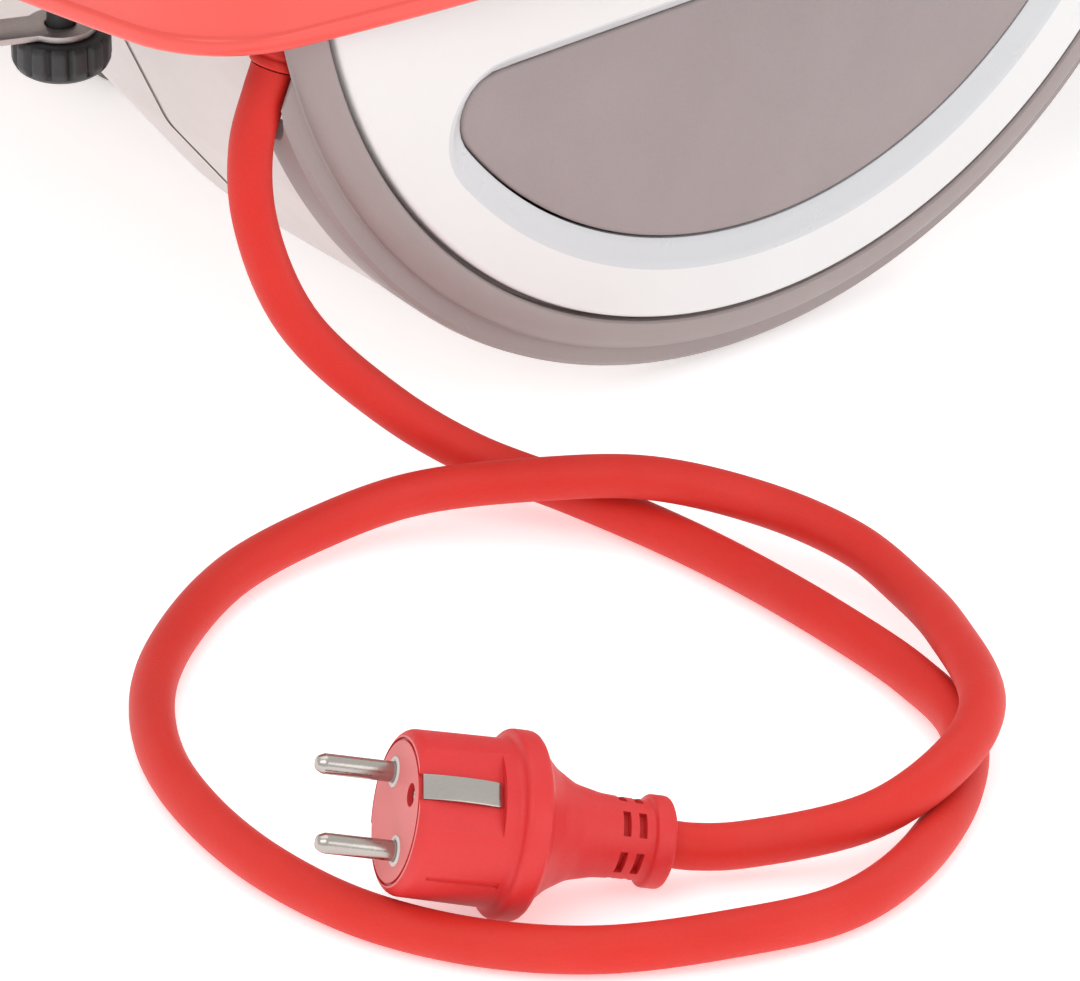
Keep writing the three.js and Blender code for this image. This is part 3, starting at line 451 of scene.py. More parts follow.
def smooth_route(route, per_span=9):
    """Centripetal Catmull-Rom points through the route."""
    pts = [Vector(p) for p in route]
    pts = [pts[0] * 2 - pts[1]] + pts + [pts[-1] * 2 - pts[-2]]
    out = []
    for i in range(1, len(pts) - 2):
        p0, p1, p2, p3 = pts[i - 1:i + 3]
        d1, d2, d3 = ((b - a).length ** 0.5 for a, b in ((p0, p1), (p1, p2), (p2, p3)))
        t1 = ((p1 - p0) / d1 - (p2 - p0) / (d1 + d2) + (p2 - p1) / d2) * d2
        t2 = ((p2 - p1) / d2 - (p3 - p1) / (d2 + d3) + (p3 - p2) / d3) * d2
        for k in range(per_span):
            t = k / per_span
            out.append(p1 * (2 * t ** 3 - 3 * t ** 2 + 1) + t1 * (t ** 3 - 2 * t ** 2 + t)
                       + p2 * (-2 * t ** 3 + 3 * t ** 2) + t2 * (t ** 3 - t ** 2))
    out.append(pts[-2])
    return out


def plug_matrix():
    yaw, tilt, roll = math.radians(244), math.radians(15.5), math.radians(140.8)
    a = Vector((math.cos(tilt) * math.cos(yaw), math.cos(tilt) * math.sin(yaw), math.sin(tilt)))
    h = Vector((-math.sin(yaw), math.cos(yaw), 0))
    v = a.cross(h)
    p = h * math.cos(roll) + v * math.sin(roll)
    q = a.cross(p)
    m = Matrix((p, q, a)).transposed().to_4x4()
    m.translation = Vector((0.3299, -0.2876, 0.0291))
    return m


def add_plug():
    """Moulded earthed plug: face at z 0, pins along +z and side by side along x."""
    m = plug_matrix()
    profile = rounded([(0, 0), (17.4, 0), (19.0, -1.8), (19.4, -24), (21.8, -24.8), (21.8, -30.3),
                       (18.6, -31.6), (14.4, -36), (11.2, -41.5), (9.7, -48), (9.3, -54), (9.3, -59.4),
                       (10.75, -59.9), (10.75, -64.5), (0, -64.5)], 1.2)
    body = finish_mesh("plug_shell", *turned(profile, segments=96), "plug_red", matrix=m,
                       extra=("plug_face",))
    cutters = []
    for s in (-1, 1):
        y = s * 20.8
        cutters.append(raw("flat", box(-12, 12, y - 4.2, y + 4.2, -20, 3), m))
        for x0, x1 in ((-19.9, -17.6), (17.6, 19.9)):
            cutters.append(raw("groove", box(x0, x1, s * 8.5 - 2.5, s * 8.5 + 2.5, -22, -5), m))
        cutters.append(raw("seat", turned(rod(3.6, -6, 1), at=(s * PIN_X, 0, 0), segments=32), m))
    cutters.append(raw("socket", turned(rod(2.7, -14, 1), at=CONTACT_AT, segments=32), m))
    shoulder = tube(16.2, 16.9, -0.9, 1)
    cutters.append(raw("shoulder_cut", turned(shoulder + shoulder[:1], segments=64), m))
    for row in range(2):
        z = -52.6 - row * 3.9
        for k in range(6):
            turn = m @ Matrix.Rotation(TAU * (k + 0.5) / 6, 4, 'Z')
            cutters.append(raw("slit", box(7.0, 16, -3.0, 3.0, z - 0.95, z + 0.95), turn))
    cut(body, *cutters)
    axis, face_at = m.to_3x3() @ Vector((0, 0, 1)), m.translation
    for poly in body.data.polygons:
        height = (poly.center - face_at).dot(axis)
        poly.material_index = 1 if poly.normal.dot(axis) > 0.9 and height > -0.0012 else 0
    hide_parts("plug_body")
    pieces = [body]
    for name, s in (("upper", 1), ("lower", -1)):
        pin_profile = rounded([(0, -5.8), (2.4, -5.8), (2.4, 16.9), (1.6, 18.6), (0, 19)], 0.5)
        at = (s * PIN_X, 0, 0)
        pin = finish_mesh("pin_" + name, *turned(pin_profile, at=at, segments=40), "nickel", matrix=m)
        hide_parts("plug_pin_" + name)
        shape = turned(rounded(tube(2.45, 3.55, -5.9, 0.35), 0.2, 3, True), at=at, segments=40)
        ring = finish_mesh("pin_ring_" + name, *shape, "white_ring", matrix=m)
        pieces += [pin, ring]
    strip = rounded([(-3, 16.9), (3, 16.9), (3, 17.8), (-3, 17.8)], 0.25, 3, True)
    rings = [[(x, y + bow, z) for x, y in strip[:-1]] for z, bow in
             ((-19.4, -0.5), (-15, 0.15), (-10, 0.4), (-5, 0.15), (-0.8, -0.5))]
    near = finish_mesh("earth_strip", *skin(rings), "nickel", matrix=m)
    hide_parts("earth_clip")
    far = [[(x, -y - bow, z) for x, y in strip[:-1]] for z, bow in
           ((-19.4, -0.5), (-15, 0.1), (-10, 0.3), (-5, 0.1), (-0.8, -0.5))]
    other = finish_mesh("earth_strip_far", *skin(far), "nickel", matrix=m)
    socket = rounded(tube(1.5, 2.45, -13.5, -1.2), 0.2, 3, True)
    contact = finish_mesh("earth_contact", *turned(socket, at=CONTACT_AT, segments=32), "nickel", matrix=m)
    return pieces + [near, other, contact]


def add_cord():
    line = smooth_route(CORD_ROUTE)
    cord = finish_mesh("cord", *bar(line, CORD_D / 2, 28), "cord_red", sharp=60)
    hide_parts("mains_cord")
    pieces = add_plug()


def exit_line():
    """The leaning line on which the cord comes out: +z up it from the cord's first point."""
    return (Matrix.Translation(tuple(c * 0.001 for c in CORD_ROUTE[0]))
            @ Matrix.Rotation(math.radians(-23.6), 4, 'X'))


def add_relief():
    profile = [(0, 0.35), (5.7, 0.35), (6.25, 0.8), (6.4, 1.6), (6.35, 2.6), (6.05, 3.1), (6.05, 3.6),
               (6.4, 4.1), (6.6, 9.0), (6.9, 14.4), (6.2, 14.5), (6.2, 36), (0, 36)]
    relief = finish_mesh("cord_sleeve", *turned(rounded(profile, 0.35, 3), segments=56), "cord_red",
                         matrix=exit_line())
    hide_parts("strain_relief")


add_camera()
add_cord()
add_relief()


# ---------------------------------------------------------------- body of the half drum
def drum_section(x, r):
    """The drum's cut at x, from its front edge under the belly to its rear edge."""
    k = r / DRUM_R
    belly = math.radians(37)
    crease = Vector((125, 70 - AZ))
    low = Vector((DRUM_R * math.sin(belly), -DRUM_R * math.cos(belly)))
    high = Vector((157.5, DRUM_TOP - AZ))
    half = []
    for i in range(7):
        p = high.lerp(crease, i / 7)
        half.append(p)
    d1, d2 = (high - crease).normalized(), (low - crease).normalized()
    half += [crease + d1 * 2.2, crease + (d1 + d2) * 0.75, crease + d2 * 2.2]
    for i in range(1, 5):
        half.append(crease.lerp(low, i / 5))
    d3 = (crease - low).normalized()
    half += [low + d3 * 3]
    arc = arc_points(0, 0, DRUM_R, -math.pi / 2 + belly, -math.pi / 2 - belly, 56)
    right = [tuple(p) for p in half]
    left = [(-p[0], p[1]) for p in reversed(right)]
    pts = right + arc + left
    out = []
    for i, (y, z) in enumerate(pts):
        zz = DRUM_TOP if i in (0, len(pts) - 1) else AZ + z * k
        out.append((x, AY + y * k, zz))
    return out


def add_tub():
    def radius(x):
        t = min(1.0, max(12.0, abs(x)) / SEAM_X)
        return DRUM_R - 20 * (1 - t) * (1 - t)

    edge = SEAM_X - SEAM_GAP
    n = 56
    xs = [-edge + 2 * edge * i / n for i in range(n + 1)]

    def rings(wall):
        made = []
        for i, x in enumerate(xs):
            r = radius(x) - wall
            if wall == 0 and i in (0, n):
                r -= 0.8
            made.append(drum_section(x, r))
        if wall == 0:
            for place, x in ((1, -edge + 0.8), (len(made) - 1, edge - 0.8)):
                made.insert(place, drum_section(x, radius(x)))
        return made

    outer, inner = rings(0), rings(WALL)
    loops = [o + i[::-1] for o, i in zip([outer[0], *outer[2:-2], outer[-1]], inner)]
    first, last = outer[1] + inner[0][::-1], outer[-2] + inner[-1][::-1]
    loops = [loops[0], first, *loops[1:-1], last, loops[-1]]
    tub = finish_mesh("tub", *skin(loops), "body_grey", sharp=30)
    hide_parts("base_tub")


def half_arc(r, x):
    """Points of a circle about the drum axis, below the drum's upper edge."""
    a = math.asin((AZ - DRUM_TOP) / r)
    return [(x, y, z) for y, z in arc_points(AY, AZ, r, -a, -math.pi + a, 110)]


def add_shell(side, s):
    def mirrored(ring):
        return [(s * x, y, z) for x, y, z in ring]

    edge = SEAM_X + SEAM_GAP
    stations = ((edge, -0.8), (edge + 0.8, 0), (110, 0), (135, 0), (150, 0), (160, 0.2), (164, 0.3))
    loops = []
    for x, rise in stations:
        loops.append(mirrored(drum_section(x, DRUM_R + rise) + drum_section(x, DRUM_R - WALL)[::-1]))
    shell = finish_mesh("shell_" + side, *skin(loops), "body_grey", sharp=30)
    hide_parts("side_shell_" + side)

    profile = [(159.2, 161.5), (162.6, 161.5), (162.9, 170.2), (162.5, 172.0), (161.3, 173.0), (157.2, 173.2),
               (156.7, 173.7), (156.6, 174.4), (156.1, 175.9), (154.9, 177.4), (153.2, 178.6), (151.2, 179.3),
               (149.4, 179.6), (148.3, 179.4), (147.8, 178.7), (147.8, 174.0), (144.0, 174.0), (144.0, 171.0),
               (159.2, 171.0), (159.2, 161.5)]
    arcs = [mirrored(half_arc(r, x)) for r, x in profile]
    ring = finish_mesh("rim_" + side, *skin(arcs, wrap=False, caps=False), "ring_grey", sharp=28)
    ends = ring.data
    build = bmesh.new()
    build.from_mesh(ends)
    bmesh.ops.holes_fill(build, edges=[e for e in build.edges if e.is_boundary])
    bmesh.ops.recalc_face_normals(build, faces=build.faces)
    build.to_mesh(ends)
    build.free()
    shade(ends, 28)
    if s > 0:
        for piece in (shell, ring):
            notch = raw("notch", turned(rod(NOTCH_R, -19, 40), segments=48), exit_line())
            slot = raw("slot", box(-NOTCH_R, NOTCH_R + 0.8, -30, 0, -19, 40), exit_line())
            cut(piece, notch, slot, sharp=30)


# ---------------------------------------------------------------- silver side panels
def ray_loop(outline, centre, count=260):
    """The outline seen from the centre at even angles: a list of (y, z)."""
    cy, cz = centre
    segs = list(zip(outline, outline[1:] + outline[:1]))
    out = []
    for k in range(count):
        a = TAU * k / count
        dy, dz = math.cos(a), math.sin(a)
        best = None
        for (y0, z0), (y1, z1) in segs:
            ey, ez = y1 - y0, z1 - z0
            det = dy * -ez + ey * dz
            if abs(det) < 1e-12:
                continue
            ry, rz = y0 - cy, z0 - cz
            t = (ry * -ez + ey * rz) / det
            u = (dy * rz - dz * ry) / det
            if t > 0 and -1e-9 <= u <= 1 + 1e-9 and (best is None or t < best):
                best = t
        out.append((cy + dy * best, cz + dz * best))
    return out


def half_disc(r, top):
    a = math.asin((AZ - top) / r)
    return arc_points(AY, AZ, r, -math.pi + a, -a, 120)


def inset_outline(r, top, corner):
    cz = top - corner
    reach = math.sqrt((r - corner) ** 2 - (cz - AZ) ** 2)
    a = math.atan2(cz - AZ, reach)
    return (arc_points(AY, AZ, r, -math.pi - a, a, 100, False)
            + arc_points(AY + reach, cz, corner, a, math.pi / 2, 14, False)
            + arc_points(AY - reach, cz, corner, math.pi / 2, math.pi - a, 14, False))


def add_side_panel(side, s):
    centre = (AY, 84.0)
    levels = [(half_disc(146.4, DRUM_TOP), PANEL_BACK), (half_disc(146.4, DRUM_TOP), 178.9),
              (half_disc(146.15, 139.8), 179.6), (half_disc(145.6, 139.5), 179.95),
              (half_disc(145.0, 139.2), HALF),
              (inset_outline(133.2, 113.0, 18.5), HALF), (inset_outline(132.2, 112.4, 18), 179.85),
              (inset_outline(131.0, 111.8, 17), 179.4), (inset_outline(127.6, 110.1, 13.6), 178.0),
              (inset_outline(126.4, 109.6, 12.6), 177.7), (inset_outline(125.7, 109.3, 12), 177.2),
              (inset_outline(125.7, 109.3, 12), PANEL_BACK)]
    rings = [[(s * x, y, z) for y, z in ray_loop(o, centre)] for o, x in levels]
    panel = finish_mesh("panel_" + side, *skin(rings + rings[:1], caps=False), "panel_silver", sharp=40,
                        extra=("bezel_silver_painted_shade",))
    # The bezel's sloping faces take the second, darker and bluer silver: painted shade on the slope.
    for poly in panel.data.polygons:
        x, y, z = poly.center * 1000
        inner = math.hypot(y - AY, z - AZ) < 134 and z < 113.5
        poly.material_index = 1 if inner and abs(poly.normal.x) < 0.995 else 0
    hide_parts("side_panel_" + side)
    flat = [(inset_outline(125.0, 108.8, 11.2), PANEL_BACK), (inset_outline(125.0, 108.8, 11.2), 177.0),
            (inset_outline(124.7, 108.5, 11), 177.5), (inset_outline(124.0, 107.9, 10.4), 177.75)]
    rings = [[(s * x, y, z) for y, z in ray_loop(o, centre)] for o, x in flat]
    inset = finish_mesh("inset_" + side, *skin(rings), "inset_grey", sharp=40)
    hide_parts("side_inset_" + side)


add_tub()
for SIDE, SIGN in (("right", 1), ("left", -1)):
    add_shell(SIDE, SIGN)
    add_side_panel(SIDE, SIGN)


# ---------------------------------------------------------------- hood
def bowed_outline(half_width, half_length, corner, n=12):
    """A rectangle with bowed sides and round corners; the corner's centre is where two inner arcs cross."""
    fr, sr = FRONT_BOW, SIDE_BOW
    fy, sx = fr - half_length, half_width - sr
    rf, rs = fr - corner, sr - corner
    d = math.hypot(sx, fy)
    along = (rf * rf - rs * rs + d * d) / (2 * d)
    off = math.sqrt(rf * rf - along * along)
    ux, uy = sx / d, -fy / d
    cx, cy = ux * along - uy * off, fy + uy * along + ux * off
    if not (cy < 0 < cx):
        cx, cy = ux * along + uy * off, fy + uy * along - ux * off
    t1, t2 = math.atan2(cy - fy, cx), math.atan2(cy, cx - sx)
    quarter = (arc_points(0, fy, fr, -math.pi / 2, t1, n, False)
               + arc_points(cx, cy, corner, t1, t2, n, False)
               + arc_points(sx, 0, sr, t2, 0, n, False))
    back = (quarter[1:] + [(half_width, 0)])[::-1]
    ring = quarter + [(x, -y) for x, y in back] + [(-x, -y) for x, y in quarter] + [(-x, y) for x, y in back]
    return [(x, y + AY) for x, y in ring]


def hood_rings(levels, wall):
    rings = []
    for z, inset in levels:
        corner = min(max(20.0, 35 - wall + inset * 0.3), 0.8 * (HOOD_X - inset))
        rings.append([(x, y, z) for x, y in bowed_outline(HOOD_X - inset, HOOD_Y - inset, corner)])
    return rings


def add_hood():
    crown = []
    for k in range(1, 15):
        a = k / 14 * math.pi / 2
        crown.append((238 + 85.5 * math.sin(a), 4 + 62 * (1 - math.cos(a))))
    outside = [(137.0, 1.6), (137.25, 0.8), (137.9, 0.25), (138.8, 0.0), (141.2, 0.0), (141.9, 0.35),
               (142.3, 0.9), (160, 1.6), (185, 2.4), (212, 3.2), *crown,
               (324.3, 82), (325.3, 102), (325.9, 125), (326.0, 150)]
    inside = [(137.0, 3.2), (160, 4.6), (200, 6), (236, 7), (280, 16), (305, 31), (318, 60), (322.0, 100),
              (322.8, 150)]
    rings = hood_rings(outside, 0) + hood_rings(inside, WALL)[::-1]
    rings.append(rings[0])
    count = len(outside)
    points, faces = skin(rings[:count], caps=False)
    points2, faces2 = skin(rings[count:-1] + [rings[0]], caps=False)
    size = len(rings[0])
    top_out = tuple((count - 1) * size + i for i in range(size))
    top_in = tuple(range(size))[::-1]
    hood = finish_mesh("hood_shell", *merge((points, faces + [top_out]), (points2, faces2 + [top_in])),
                       "hood_red", sharp=40)
    corner = rounded([(-119, 60), (119, 60), (119, 258), (-119, 258)], 16, 10, True)[:-1]
    opening = raw("opening", skin([[(x, y, z) for x, z in corner] for y in (-300, -196)]))
    notches = [raw("stay_notch", box(x - 11, x + 11, 127, 182, 130, 153.5)) for x in (-TUBE_X, TUBE_X)]
    cut(hood, opening, *notches, sharp=40)
    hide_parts("hood")


add_hood()


# ---------------------------------------------------------------- front panel and controls
SWITCH_AT = (62, -236.7, 214)
REGULATOR_AT = (-62, -236.7, 214)
GAUGE_AT = (0, -236.85, 222)
OUTLET_AT = (34, -240, 166)
INLET_AT = (-34, -240, 166)
UNION_AT = (-34, -244.35, 166)
SEATS = ((SWITCH_AT, 27), (GAUGE_AT, 31), (REGULATOR_AT, 27), (OUTLET_AT, 19), (INLET_AT, 22))
PANEL_HALF = 122.0
PANEL_Z0, PANEL_Z1 = 144.85, 257.0
RIB_PITCH = 7.0


def bow(x):
    """How far the hood's bowed front lies behind its middle at x."""
    return FRONT_BOW - math.sqrt(FRONT_BOW ** 2 - x * x)


def add_front_panel():
    """Curved plate with moulded horizontal ribs and flat round seats at the controls."""
    nx, nz = 122, 168
    front, back = [], []
    for j in range(nz + 1):
        z = PANEL_Z0 + (PANEL_Z1 - PANEL_Z0) * j / nz
        row_f, row_b = [], []
        for i in range(nx + 1):
            x = -PANEL_HALF + 2 * PANEL_HALF * i / nx
            rib = 0.75 + 0.75 * math.tanh(3.2 * math.sin(TAU * (z - 145) / RIB_PITCH))
            border = min(1.0, max(0.0, min(x + 119, 119 - x, z - 148, 254 - z) / 1.5))
            depth = -rib * border
            for at, r in SEATS:
                d = math.hypot(x - at[0], z - at[2])
                if d < r:
                    depth = -1.6 * min(1.0, (r - d) / 1.2) + depth * max(0.0, 1 - (r - d) / 1.2)
            y = -235 + bow(x)
            row_f.append((x, y + depth * 0.8 + 0.4, z))
            row_b.append((x, y + 4, z))
        front.append(row_f)
        back.append(row_b)
    loops = [f + b[::-1] for f, b in zip(front, back)]
    panel = finish_mesh("control_panel", *skin(loops), "black_plastic", sharp=50)
    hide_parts("front_panel")


def flutes(count, depth, width, start, end):
    """Radius rule that cuts even flutes between two heights."""
    def rule(a, r, t):
        if not start <= abs(t) <= end:
            return r
        wave = (math.cos(a * count) - width) / (1 - width)
        return r - depth * max(0.0, wave) if r > 8 else r
    return rule


def facing(profile, at, segments, radius=None):
    """A piece turned about an axis that points out of the control panel."""
    return turned(profile, 'y', at, segments, radius)


def add_switch():
    dial = rounded([(0, 0), (21, 0), (21, -4), (20.2, -12.5), (19, -14), (0, -14)], 1.2)
    shape = merge(facing(dial, SWITCH_AT, 96), facing(rod(3.6, -0.5, 12), SWITCH_AT, 32))
    switch = finish_mesh("switch_dial", *shape, "black_plastic", "switch")
    grip = finish_mesh("switch_grip", *box(56.8, 67.2, -261.6, -249, 195, 233), "black_plastic", "switch")
    bevel(grip, 3.2, 5)
    mark = finish_mesh("switch_mark", *box(61.2, 62.8, -261.95, -260, 222, 231), "white_ring", "switch")
    bevel(mark, 0.3, 2)
    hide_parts("main_switch")


def add_regulator():
    dial = rounded([(0, 0), (18, 0), (20, -1.5), (20, -22), (18, -24), (14, -24), (13, -22.8), (0, -22.8)],
                   0.9)
    shape = merge(facing(dial, REGULATOR_AT, 180, flutes(20, 1.5, 0.3, 1.6, 21)),
                  facing(rod(3.6, -0.5, 26), REGULATOR_AT, 32))
    knob = finish_mesh("regulator_dial", *shape, "red_plastic", "regulator", sharp=45)
    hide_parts("pressure_knob")
    shape = box(-62.8, -61.2, -259.9, -259.3, 216, 225)
    mark = finish_mesh("regulator_mark", *shape, "white_ring", "regulator")
    bevel(mark, 0.25, 2)


def add_gauge():
    _, gy, gz = GAUGE_AT
    rim = rounded([(0, 0), (27, 0), (27, -9), (27, -13), (24.5, -13), (24.5, -4), (0, -4)], 0.7)
    case = finish_mesh("gauge_ring", *facing(rim, GAUGE_AT, 96), "steel")
    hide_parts("gauge_case")
    dial = rounded([(0, -4.1), (24.2, -4.1), (24.2, -4.6), (0, -4.6)], 0.1)
    finish_mesh("gauge_dial", *facing(dial, GAUGE_AT, 96), "gauge_dial")
    ticks = []
    for k in range(25):
        a = math.radians(-120 + 240 * k / 24)
        r0, r1, w = (16.5, 21.5, 0.5) if k % 4 == 0 else (19, 21.5, 0.28)
        u, v = (math.sin(a), math.cos(a)), (math.cos(a), -math.sin(a))
        ring = [(u[0] * r + v[0] * e, u[1] * r + v[1] * e) for r, e in ((r0, -w), (r1, -w), (r1, w), (r0, w))]
        ticks.append(skin([[(x, gy + y, gz + z) for x, z in ring] for y in (-4.55, -4.75)]))
    finish_mesh("gauge_ticks", *merge(*ticks), "black_plastic")
    pointer = [(-0.9, 0), (0.9, 0), (0.35, 19), (-0.35, 19)]
    hub = rounded([(0, -5.6), (2.6, -5.6), (2.6, -7.5), (0, -7.5)], 0.4)
    shape = merge(skin([[(x, gy + y, gz + z) for x, z in pointer] for y in (-6.0, -6.8)]),
                  facing(hub, GAUGE_AT, 40))
    needle = finish_mesh("needle", *shape, "red_plastic", "needle")
    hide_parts("gauge_needle")
    glass = rounded([(0, -10.5), (24.1, -10.5), (24.1, -12.0), (20, -12.5), (0, -12.6)], 0.4)
    lens = finish_mesh("gauge_glass", *facing(glass, GAUGE_AT, 96), "lens")
    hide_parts("gauge_lens")


def add_connections():
    grooves = []
    for k in range(7):
        t = -8 - k * 2.1
        grooves += [(11.0, t), (10.2, t - 0.7), (11.0, t - 1.4)]
    stub = [(6, 40), (10.5, 40), (10.5, 4), (15, 4), (15, -3.4), (14.4, -4), (11, -4), *grooves,
            (10.2, -24), (6.6, -24), (6, -23), (6, 40)]
    outlet = finish_mesh("hose_outlet", *facing(stub, OUTLET_AT, 72), "brass", sharp=30)
    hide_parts("pressure_outlet")
    nipple = rounded([(8, 40), (12.5, 40), (12.5, 4), (17, 4), (17, -4), (13.2, -4), (13.2, -16), (8, -16)],
                     0.6, 3, True)
    inlet = finish_mesh("water_nipple", *facing(nipple, INLET_AT, 72), "brass")
    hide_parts("water_inlet")
    union = rounded([(13.7, 0), (17, 0), (18.5, -1.6), (18.5, -18), (17, -20), (8, -20), (8, -14.5),
                     (13.7, -14.5)], 0.7, 3, True)
    shape = facing(union, UNION_AT, 144, flutes(18, 1.4, 0.2, 1.8, 17.5))
    nut = finish_mesh("union_ring", *shape, "black_plastic", "union_nut", sharp=45)
    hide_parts("inlet_coupling")


add_front_panel()
add_switch()
add_regulator()
add_gauge()
add_connections()


# ---------------------------------------------------------------- clamp under the front corner
CLAMP_AT = (93.5, -205.7, 100)
STRIP_THICK = 1.8


def add_clamp():
    dial = rounded([(0, 0), (9.4, 0), (11.4, 1.4), (12.5, 3.6), (12.5, 9.2), (11.2, 10.5), (0, 10.5)], 0.7)
    shape = merge(turned(dial, 'z', CLAMP_AT, 168, flutes(14, 1.2, 0.35, 2.2, 10.2)),
                  turned(rod(3.5, 9, 40.1), 'z', CLAMP_AT, 32))
    knob = finish_mesh("clamp_dial", *shape, "black_plastic", "knob", sharp=45)
    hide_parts("clamp_knob")
    pts = arc_points(0, 0, 9, math.radians(42), math.radians(318), 28)
    pts += [(9.5, -6), *[(x, -6) for x in range(20, 71, 10)], (75.2, -6), (76, -5.2),
            (76, 5.2), (75.2, 6), *[(x, 6) for x in range(70, 19, -10)], (9.5, 6)]
    turn = Matrix.Translation((0.0935, -0.2057, 0.11085)) @ Matrix.Rotation(math.radians(-113), 4, 'Z')
    shape = skin([[(x, y, z) for x, y in pts] for z in (0, STRIP_THICK)])
    strip = finish_mesh("clamp_tongue", *shape, "strip_metal", "strip", matrix=turn)
    hole = raw("hole", turned(rod(4, -1, 3), segments=40), turn)
    cut(strip, hole)
    bevel(strip, 0.35, 2)
    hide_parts("clamp_strip")


add_clamp()


# ---------------------------------------------------------------- feet, wheels, rear frame and handle
def add_foot(side, s):
    at = (s * 62, -73, 0)
    profile = rounded([(0, 0), (10.2, 0), (11.6, 1.4), (11.6, 6.6), (0, 6.6)], 0.8)
    foot = finish_mesh("pad_" + side, *turned(profile, 'z', at, 64), "foot_rubber")
    ring = tube(6, 8, -1, 0.8)
    groove = raw("ring", turned(ring + ring[:1], 'z', at, 64))
    cut(foot, groove)
    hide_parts("foot_" + side)


def add_wheel(side, s):
    at = (s * 171, AXLE_Y, AXLE_Z)
    body = side + "_wheel"
    half_rim = [(7.35, -17), (16, -17), (17, -6), (40, -4), (45, -16), (52, -16)]
    rim_profile = rounded(half_rim + [(r, -t) for r, t in reversed(half_rim)], 1.2, 4, True)
    rim = finish_mesh("rim_disc_" + side, *turned(rim_profile, 'x', at, 96), "body_grey", body)
    holes = []
    for k in range(5):
        a = TAU * k / 5
        middle = (at[0], at[1] + 31 * math.cos(a), at[2] + 31 * math.sin(a))
        holes.append(raw("window", turned(rod(9.5, -20, 20), 'x', middle, 40)))
    cut(rim, *holes)
    bevel(rim, 0.7, 2, 50)
    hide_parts("wheel_" + side)
    ribs = []
    for k in range(5):
        a = TAU * (k + 0.5) / 5
        flat = [(at[1] + r * math.cos(a) - w * math.sin(a), at[2] + r * math.sin(a) + w * math.cos(a))
                for r, w in tube(17, 41, -1.6, 1.6)]
        for d in (-1, 1):
            ribs.append(skin([[(at[0] + d * h, y, z) for y, z in flat] for h in (3.5, 9.5)]))
    spokes = finish_mesh("rim_ribs_" + side, *merge(*ribs), "body_grey", body)
    bevel(spokes, 0.7, 2)

    def tread(a, r, t):
        lug = 0.5 + 0.5 * math.tanh(4 * math.sin(a * 40 + (0.9 if t > 0 else -0.9)))
        return r - 1.8 * lug * min(1.0, max(0.0, (r - 70.5) / 3)) * (1 if abs(t) > 2.4 else 0)

    half_tyre = [(52.35, -18), (58, -18.7), (62, -19), (62.6, -18.3), (64.6, -18.3), (65.2, -19),
                 (69, -18.4), (71.4, -16.8), (73.4, -14), (74.5, -11), (74.8, -7), (75, -3), (74.9, -2.5),
                 (73.2, -2.3), (73.2, -1.0), (75, -0.8)]
    profile = half_tyre + [(r, -t) for r, t in reversed(half_tyre)] + half_tyre[:1]
    shape = turned(profile, 'x', at, 320, tread)
    tyre = finish_mesh("tyre_ring_" + side, *shape, "tyre_rubber", body, sharp=30)
    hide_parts("tyre_" + side)
    dome = rounded([(7.35, 0), (14, 0), (14, 3.4), (12.6, 5.4), (9, 8), (4, 8.9), (0, 9)], 0.8)
    shape = turned(dome + [(0, 5.6), (7.35, 5.6), (7.35, 0)], 'x', (s * 188.35, AXLE_Y, AXLE_Z), 64, flip=s)
    cap = finish_mesh("axle_cap_" + side, *shape, "black_plastic", body)
    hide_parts("hub_cap_" + side)


def add_rear_frame():
    parts = []
    for s in (-1, 1):
        at = (s * TUBE_X, TUBE_Y, 0)
        sleeve = [(10.5, 62), (13, 62), (13, 330), (14.2, 331), (14.2, 338), (10.5, 338)]
        parts.append(turned(rounded(sleeve, 0.6, 3, True), 'z', at, 56))
        bush = [(9.9, 320), (10.4, 320), (10.4, 339), (12.5, 339.4), (12.5, 341), (9.9, 341)]
        parts.append(turned(rounded(bush, 0.3, 2, True), 'z', at, 56))
    parts.append(turned(rod(8, -106, 106), 'x', (0, TUBE_Y, 100), 48))
    frame_tubes = finish_mesh("sleeve_frame", *merge(*parts), "black_paint")
    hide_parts("rear_frame")
    webs = []
    for s in (-1, 1):
        x0, x1 = sorted((s * 127, s * 133))
        plate = rounded([(172, 58), (215, 58), (217, 78), (205, 94), (172, 110)], 5, 5, True)[:-1]
        webs.append(skin([[(x, y, z) for y, z in plate] for x in (x0, x1)]))
    web = finish_mesh("axle_plates", *merge(*webs), "black_paint")
    bevel(web, 0.9, 2)
    bars = [box(x - 10, x + 10, 125, 164.5, 144.85, 152.5) for x in (-TUBE_X, TUBE_X)]
    stays = finish_mesh("frame_stays", *merge(*bars), "black_paint")
    bevel(stays, 1.2, 3)
    shape = turned(rounded(rod(7, -193.4, 193.4), 0.8), 'x', (0, AXLE_Y, AXLE_Z), 48)
    axle = finish_mesh("axle_rod", *shape, "steel")
    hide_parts("rear_axle")


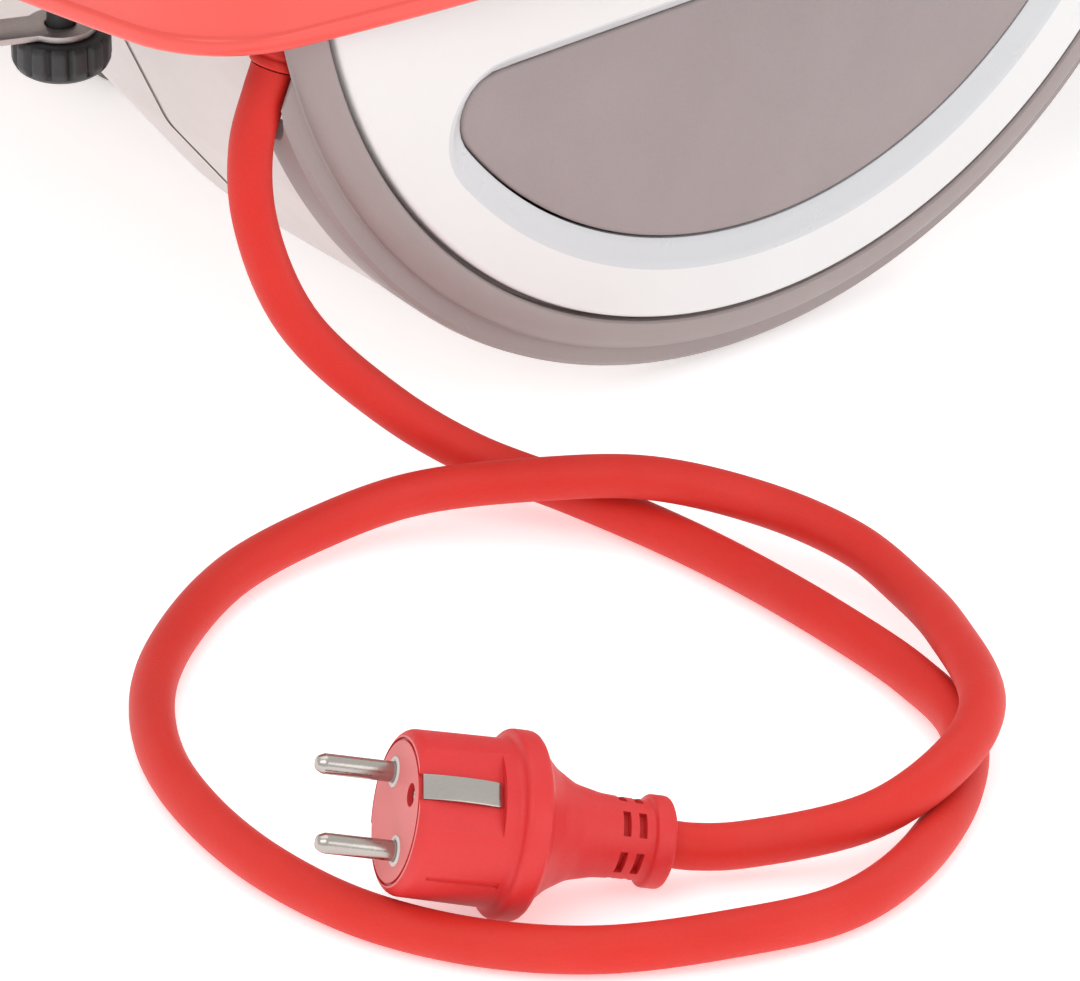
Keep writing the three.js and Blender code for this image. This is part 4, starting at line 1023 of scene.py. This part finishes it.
def add_handle():
    bend, foot = 40, 76
    x, z = TUBE_X - bend, HANDLE_TOP - bend
    path = [(-TUBE_X, foot), (-TUBE_X, 250), *arc_points(-x, z, bend, math.pi, math.pi / 2, 14)]
    path += [(-40, HANDLE_TOP), (40, HANDLE_TOP), *arc_points(x, z, bend, math.pi / 2, 0, 14)]
    path += [(TUBE_X, 250), (TUBE_X, foot)]
    shape = bar([(x, TUBE_Y, z) for x, z in path], 9.5, 36)
    handle = finish_mesh("handle_tube", *shape, "black_paint", "handle", sharp=50)
    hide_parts("handle_bar")
    profile = [(9.85, -72), (14.2, -72), (15, -71), (15, -67), (14.4, -66)]
    t = -64.0
    while t < 64:
        profile += [(14.0, t), (14.0, t + 2.6), (12.9, t + 3.1), (12.9, t + 4.0)]
        t += 4.5
    profile += [(14.4, 66), (15, 67), (15, 71), (14.2, 72), (9.85, 72), (9.85, -72)]
    shape = turned(profile, 'x', (0, TUBE_Y, HANDLE_TOP), 64)
    grip = finish_mesh("hand_grip", *shape, "grip_rubber", "handle", sharp=30)
    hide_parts("handle_grip")
    for side, s in (("right", 1), ("left", -1)):
        profile = rounded([(0, 0), (4.8, 0), (4.8, 14), (7, 14), (7, 19), (5.5, 20.5), (0, 20.5)], 0.6)
        shape = turned(profile, 'x', (s * 127.85, TUBE_Y, 316), 48, flip=s)
        button = finish_mesh("pull_button_" + side, *shape, "red_plastic", side + "_lock")
        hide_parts("lock_button_" + side)


for SIDE, SIGN in (("right", 1), ("left", -1)):
    add_foot(SIDE, SIGN)
    add_wheel(SIDE, SIGN)
add_rear_frame()
add_handle()


# ---------------------------------------------------------------- carried-over parts
def finish_frame_parts():
    slots = {row["node"]: row["material_slot"] for row in frame["record"]["subparts"]}
    for node, obj in frame["nodes"].items():
        wanted = MAT[slots[node]]
        for place in obj.material_slots:
            place.material = wanted


finish_frame_parts()


# ---------------------------------------------------------------- floor and light
FLOOR_HALF = 6                # metres
FLOOR_GLOW = 0.38
WORLD_STRENGTH = 0.98
# Name, place and aim in metres, width in metres, watts
LAMPS = (
    ("key", (1.1, -1.5, 1.9), (0.15, -0.15, 0.1), 1.4, 9),
    ("side", (2.2, 0.2, 0.9), (0.15, -0.1, 0.08), 1.2, 5),
    ("top", (-0.2, 0.2, 2.6), (0, 0, 0.2), 2.0, 10),
    ("back", (-1.8, 1.6, 1.6), (0, 0, 0.2), 1.6, 7),
)


def add_floor():
    data = bpy.data.meshes.new("floor")
    w = FLOOR_HALF
    data.from_pydata([(-w, -w, 0), (w, -w, 0), (w, w, 0), (-w, w, 0)], [], [(0, 1, 2, 3)])
    floor = bpy.data.objects.new("floor", data)
    SCENE.collection.objects.link(floor)
    paper = surface("paper", (0.98, 0.98, 0.98), 0.75, grain=300, bump=0.02, vary=0.004)
    shader = paper.node_tree.nodes["Principled BSDF"]
    shader.inputs["Emission Color"].default_value = (1, 1, 1, 1)
    shader.inputs["Emission Strength"].default_value = FLOOR_GLOW
    data.materials.append(paper)


def add_world():
    world = bpy.data.worlds.new("studio")
    world.use_nodes = True
    background = world.node_tree.nodes["Background"]
    background.inputs["Color"].default_value = (1, 1, 1, 1)
    background.inputs["Strength"].default_value = WORLD_STRENGTH
    SCENE.world = world


add_floor()
add_world()
for LAMP in LAMPS:
    add_light(*LAMP)
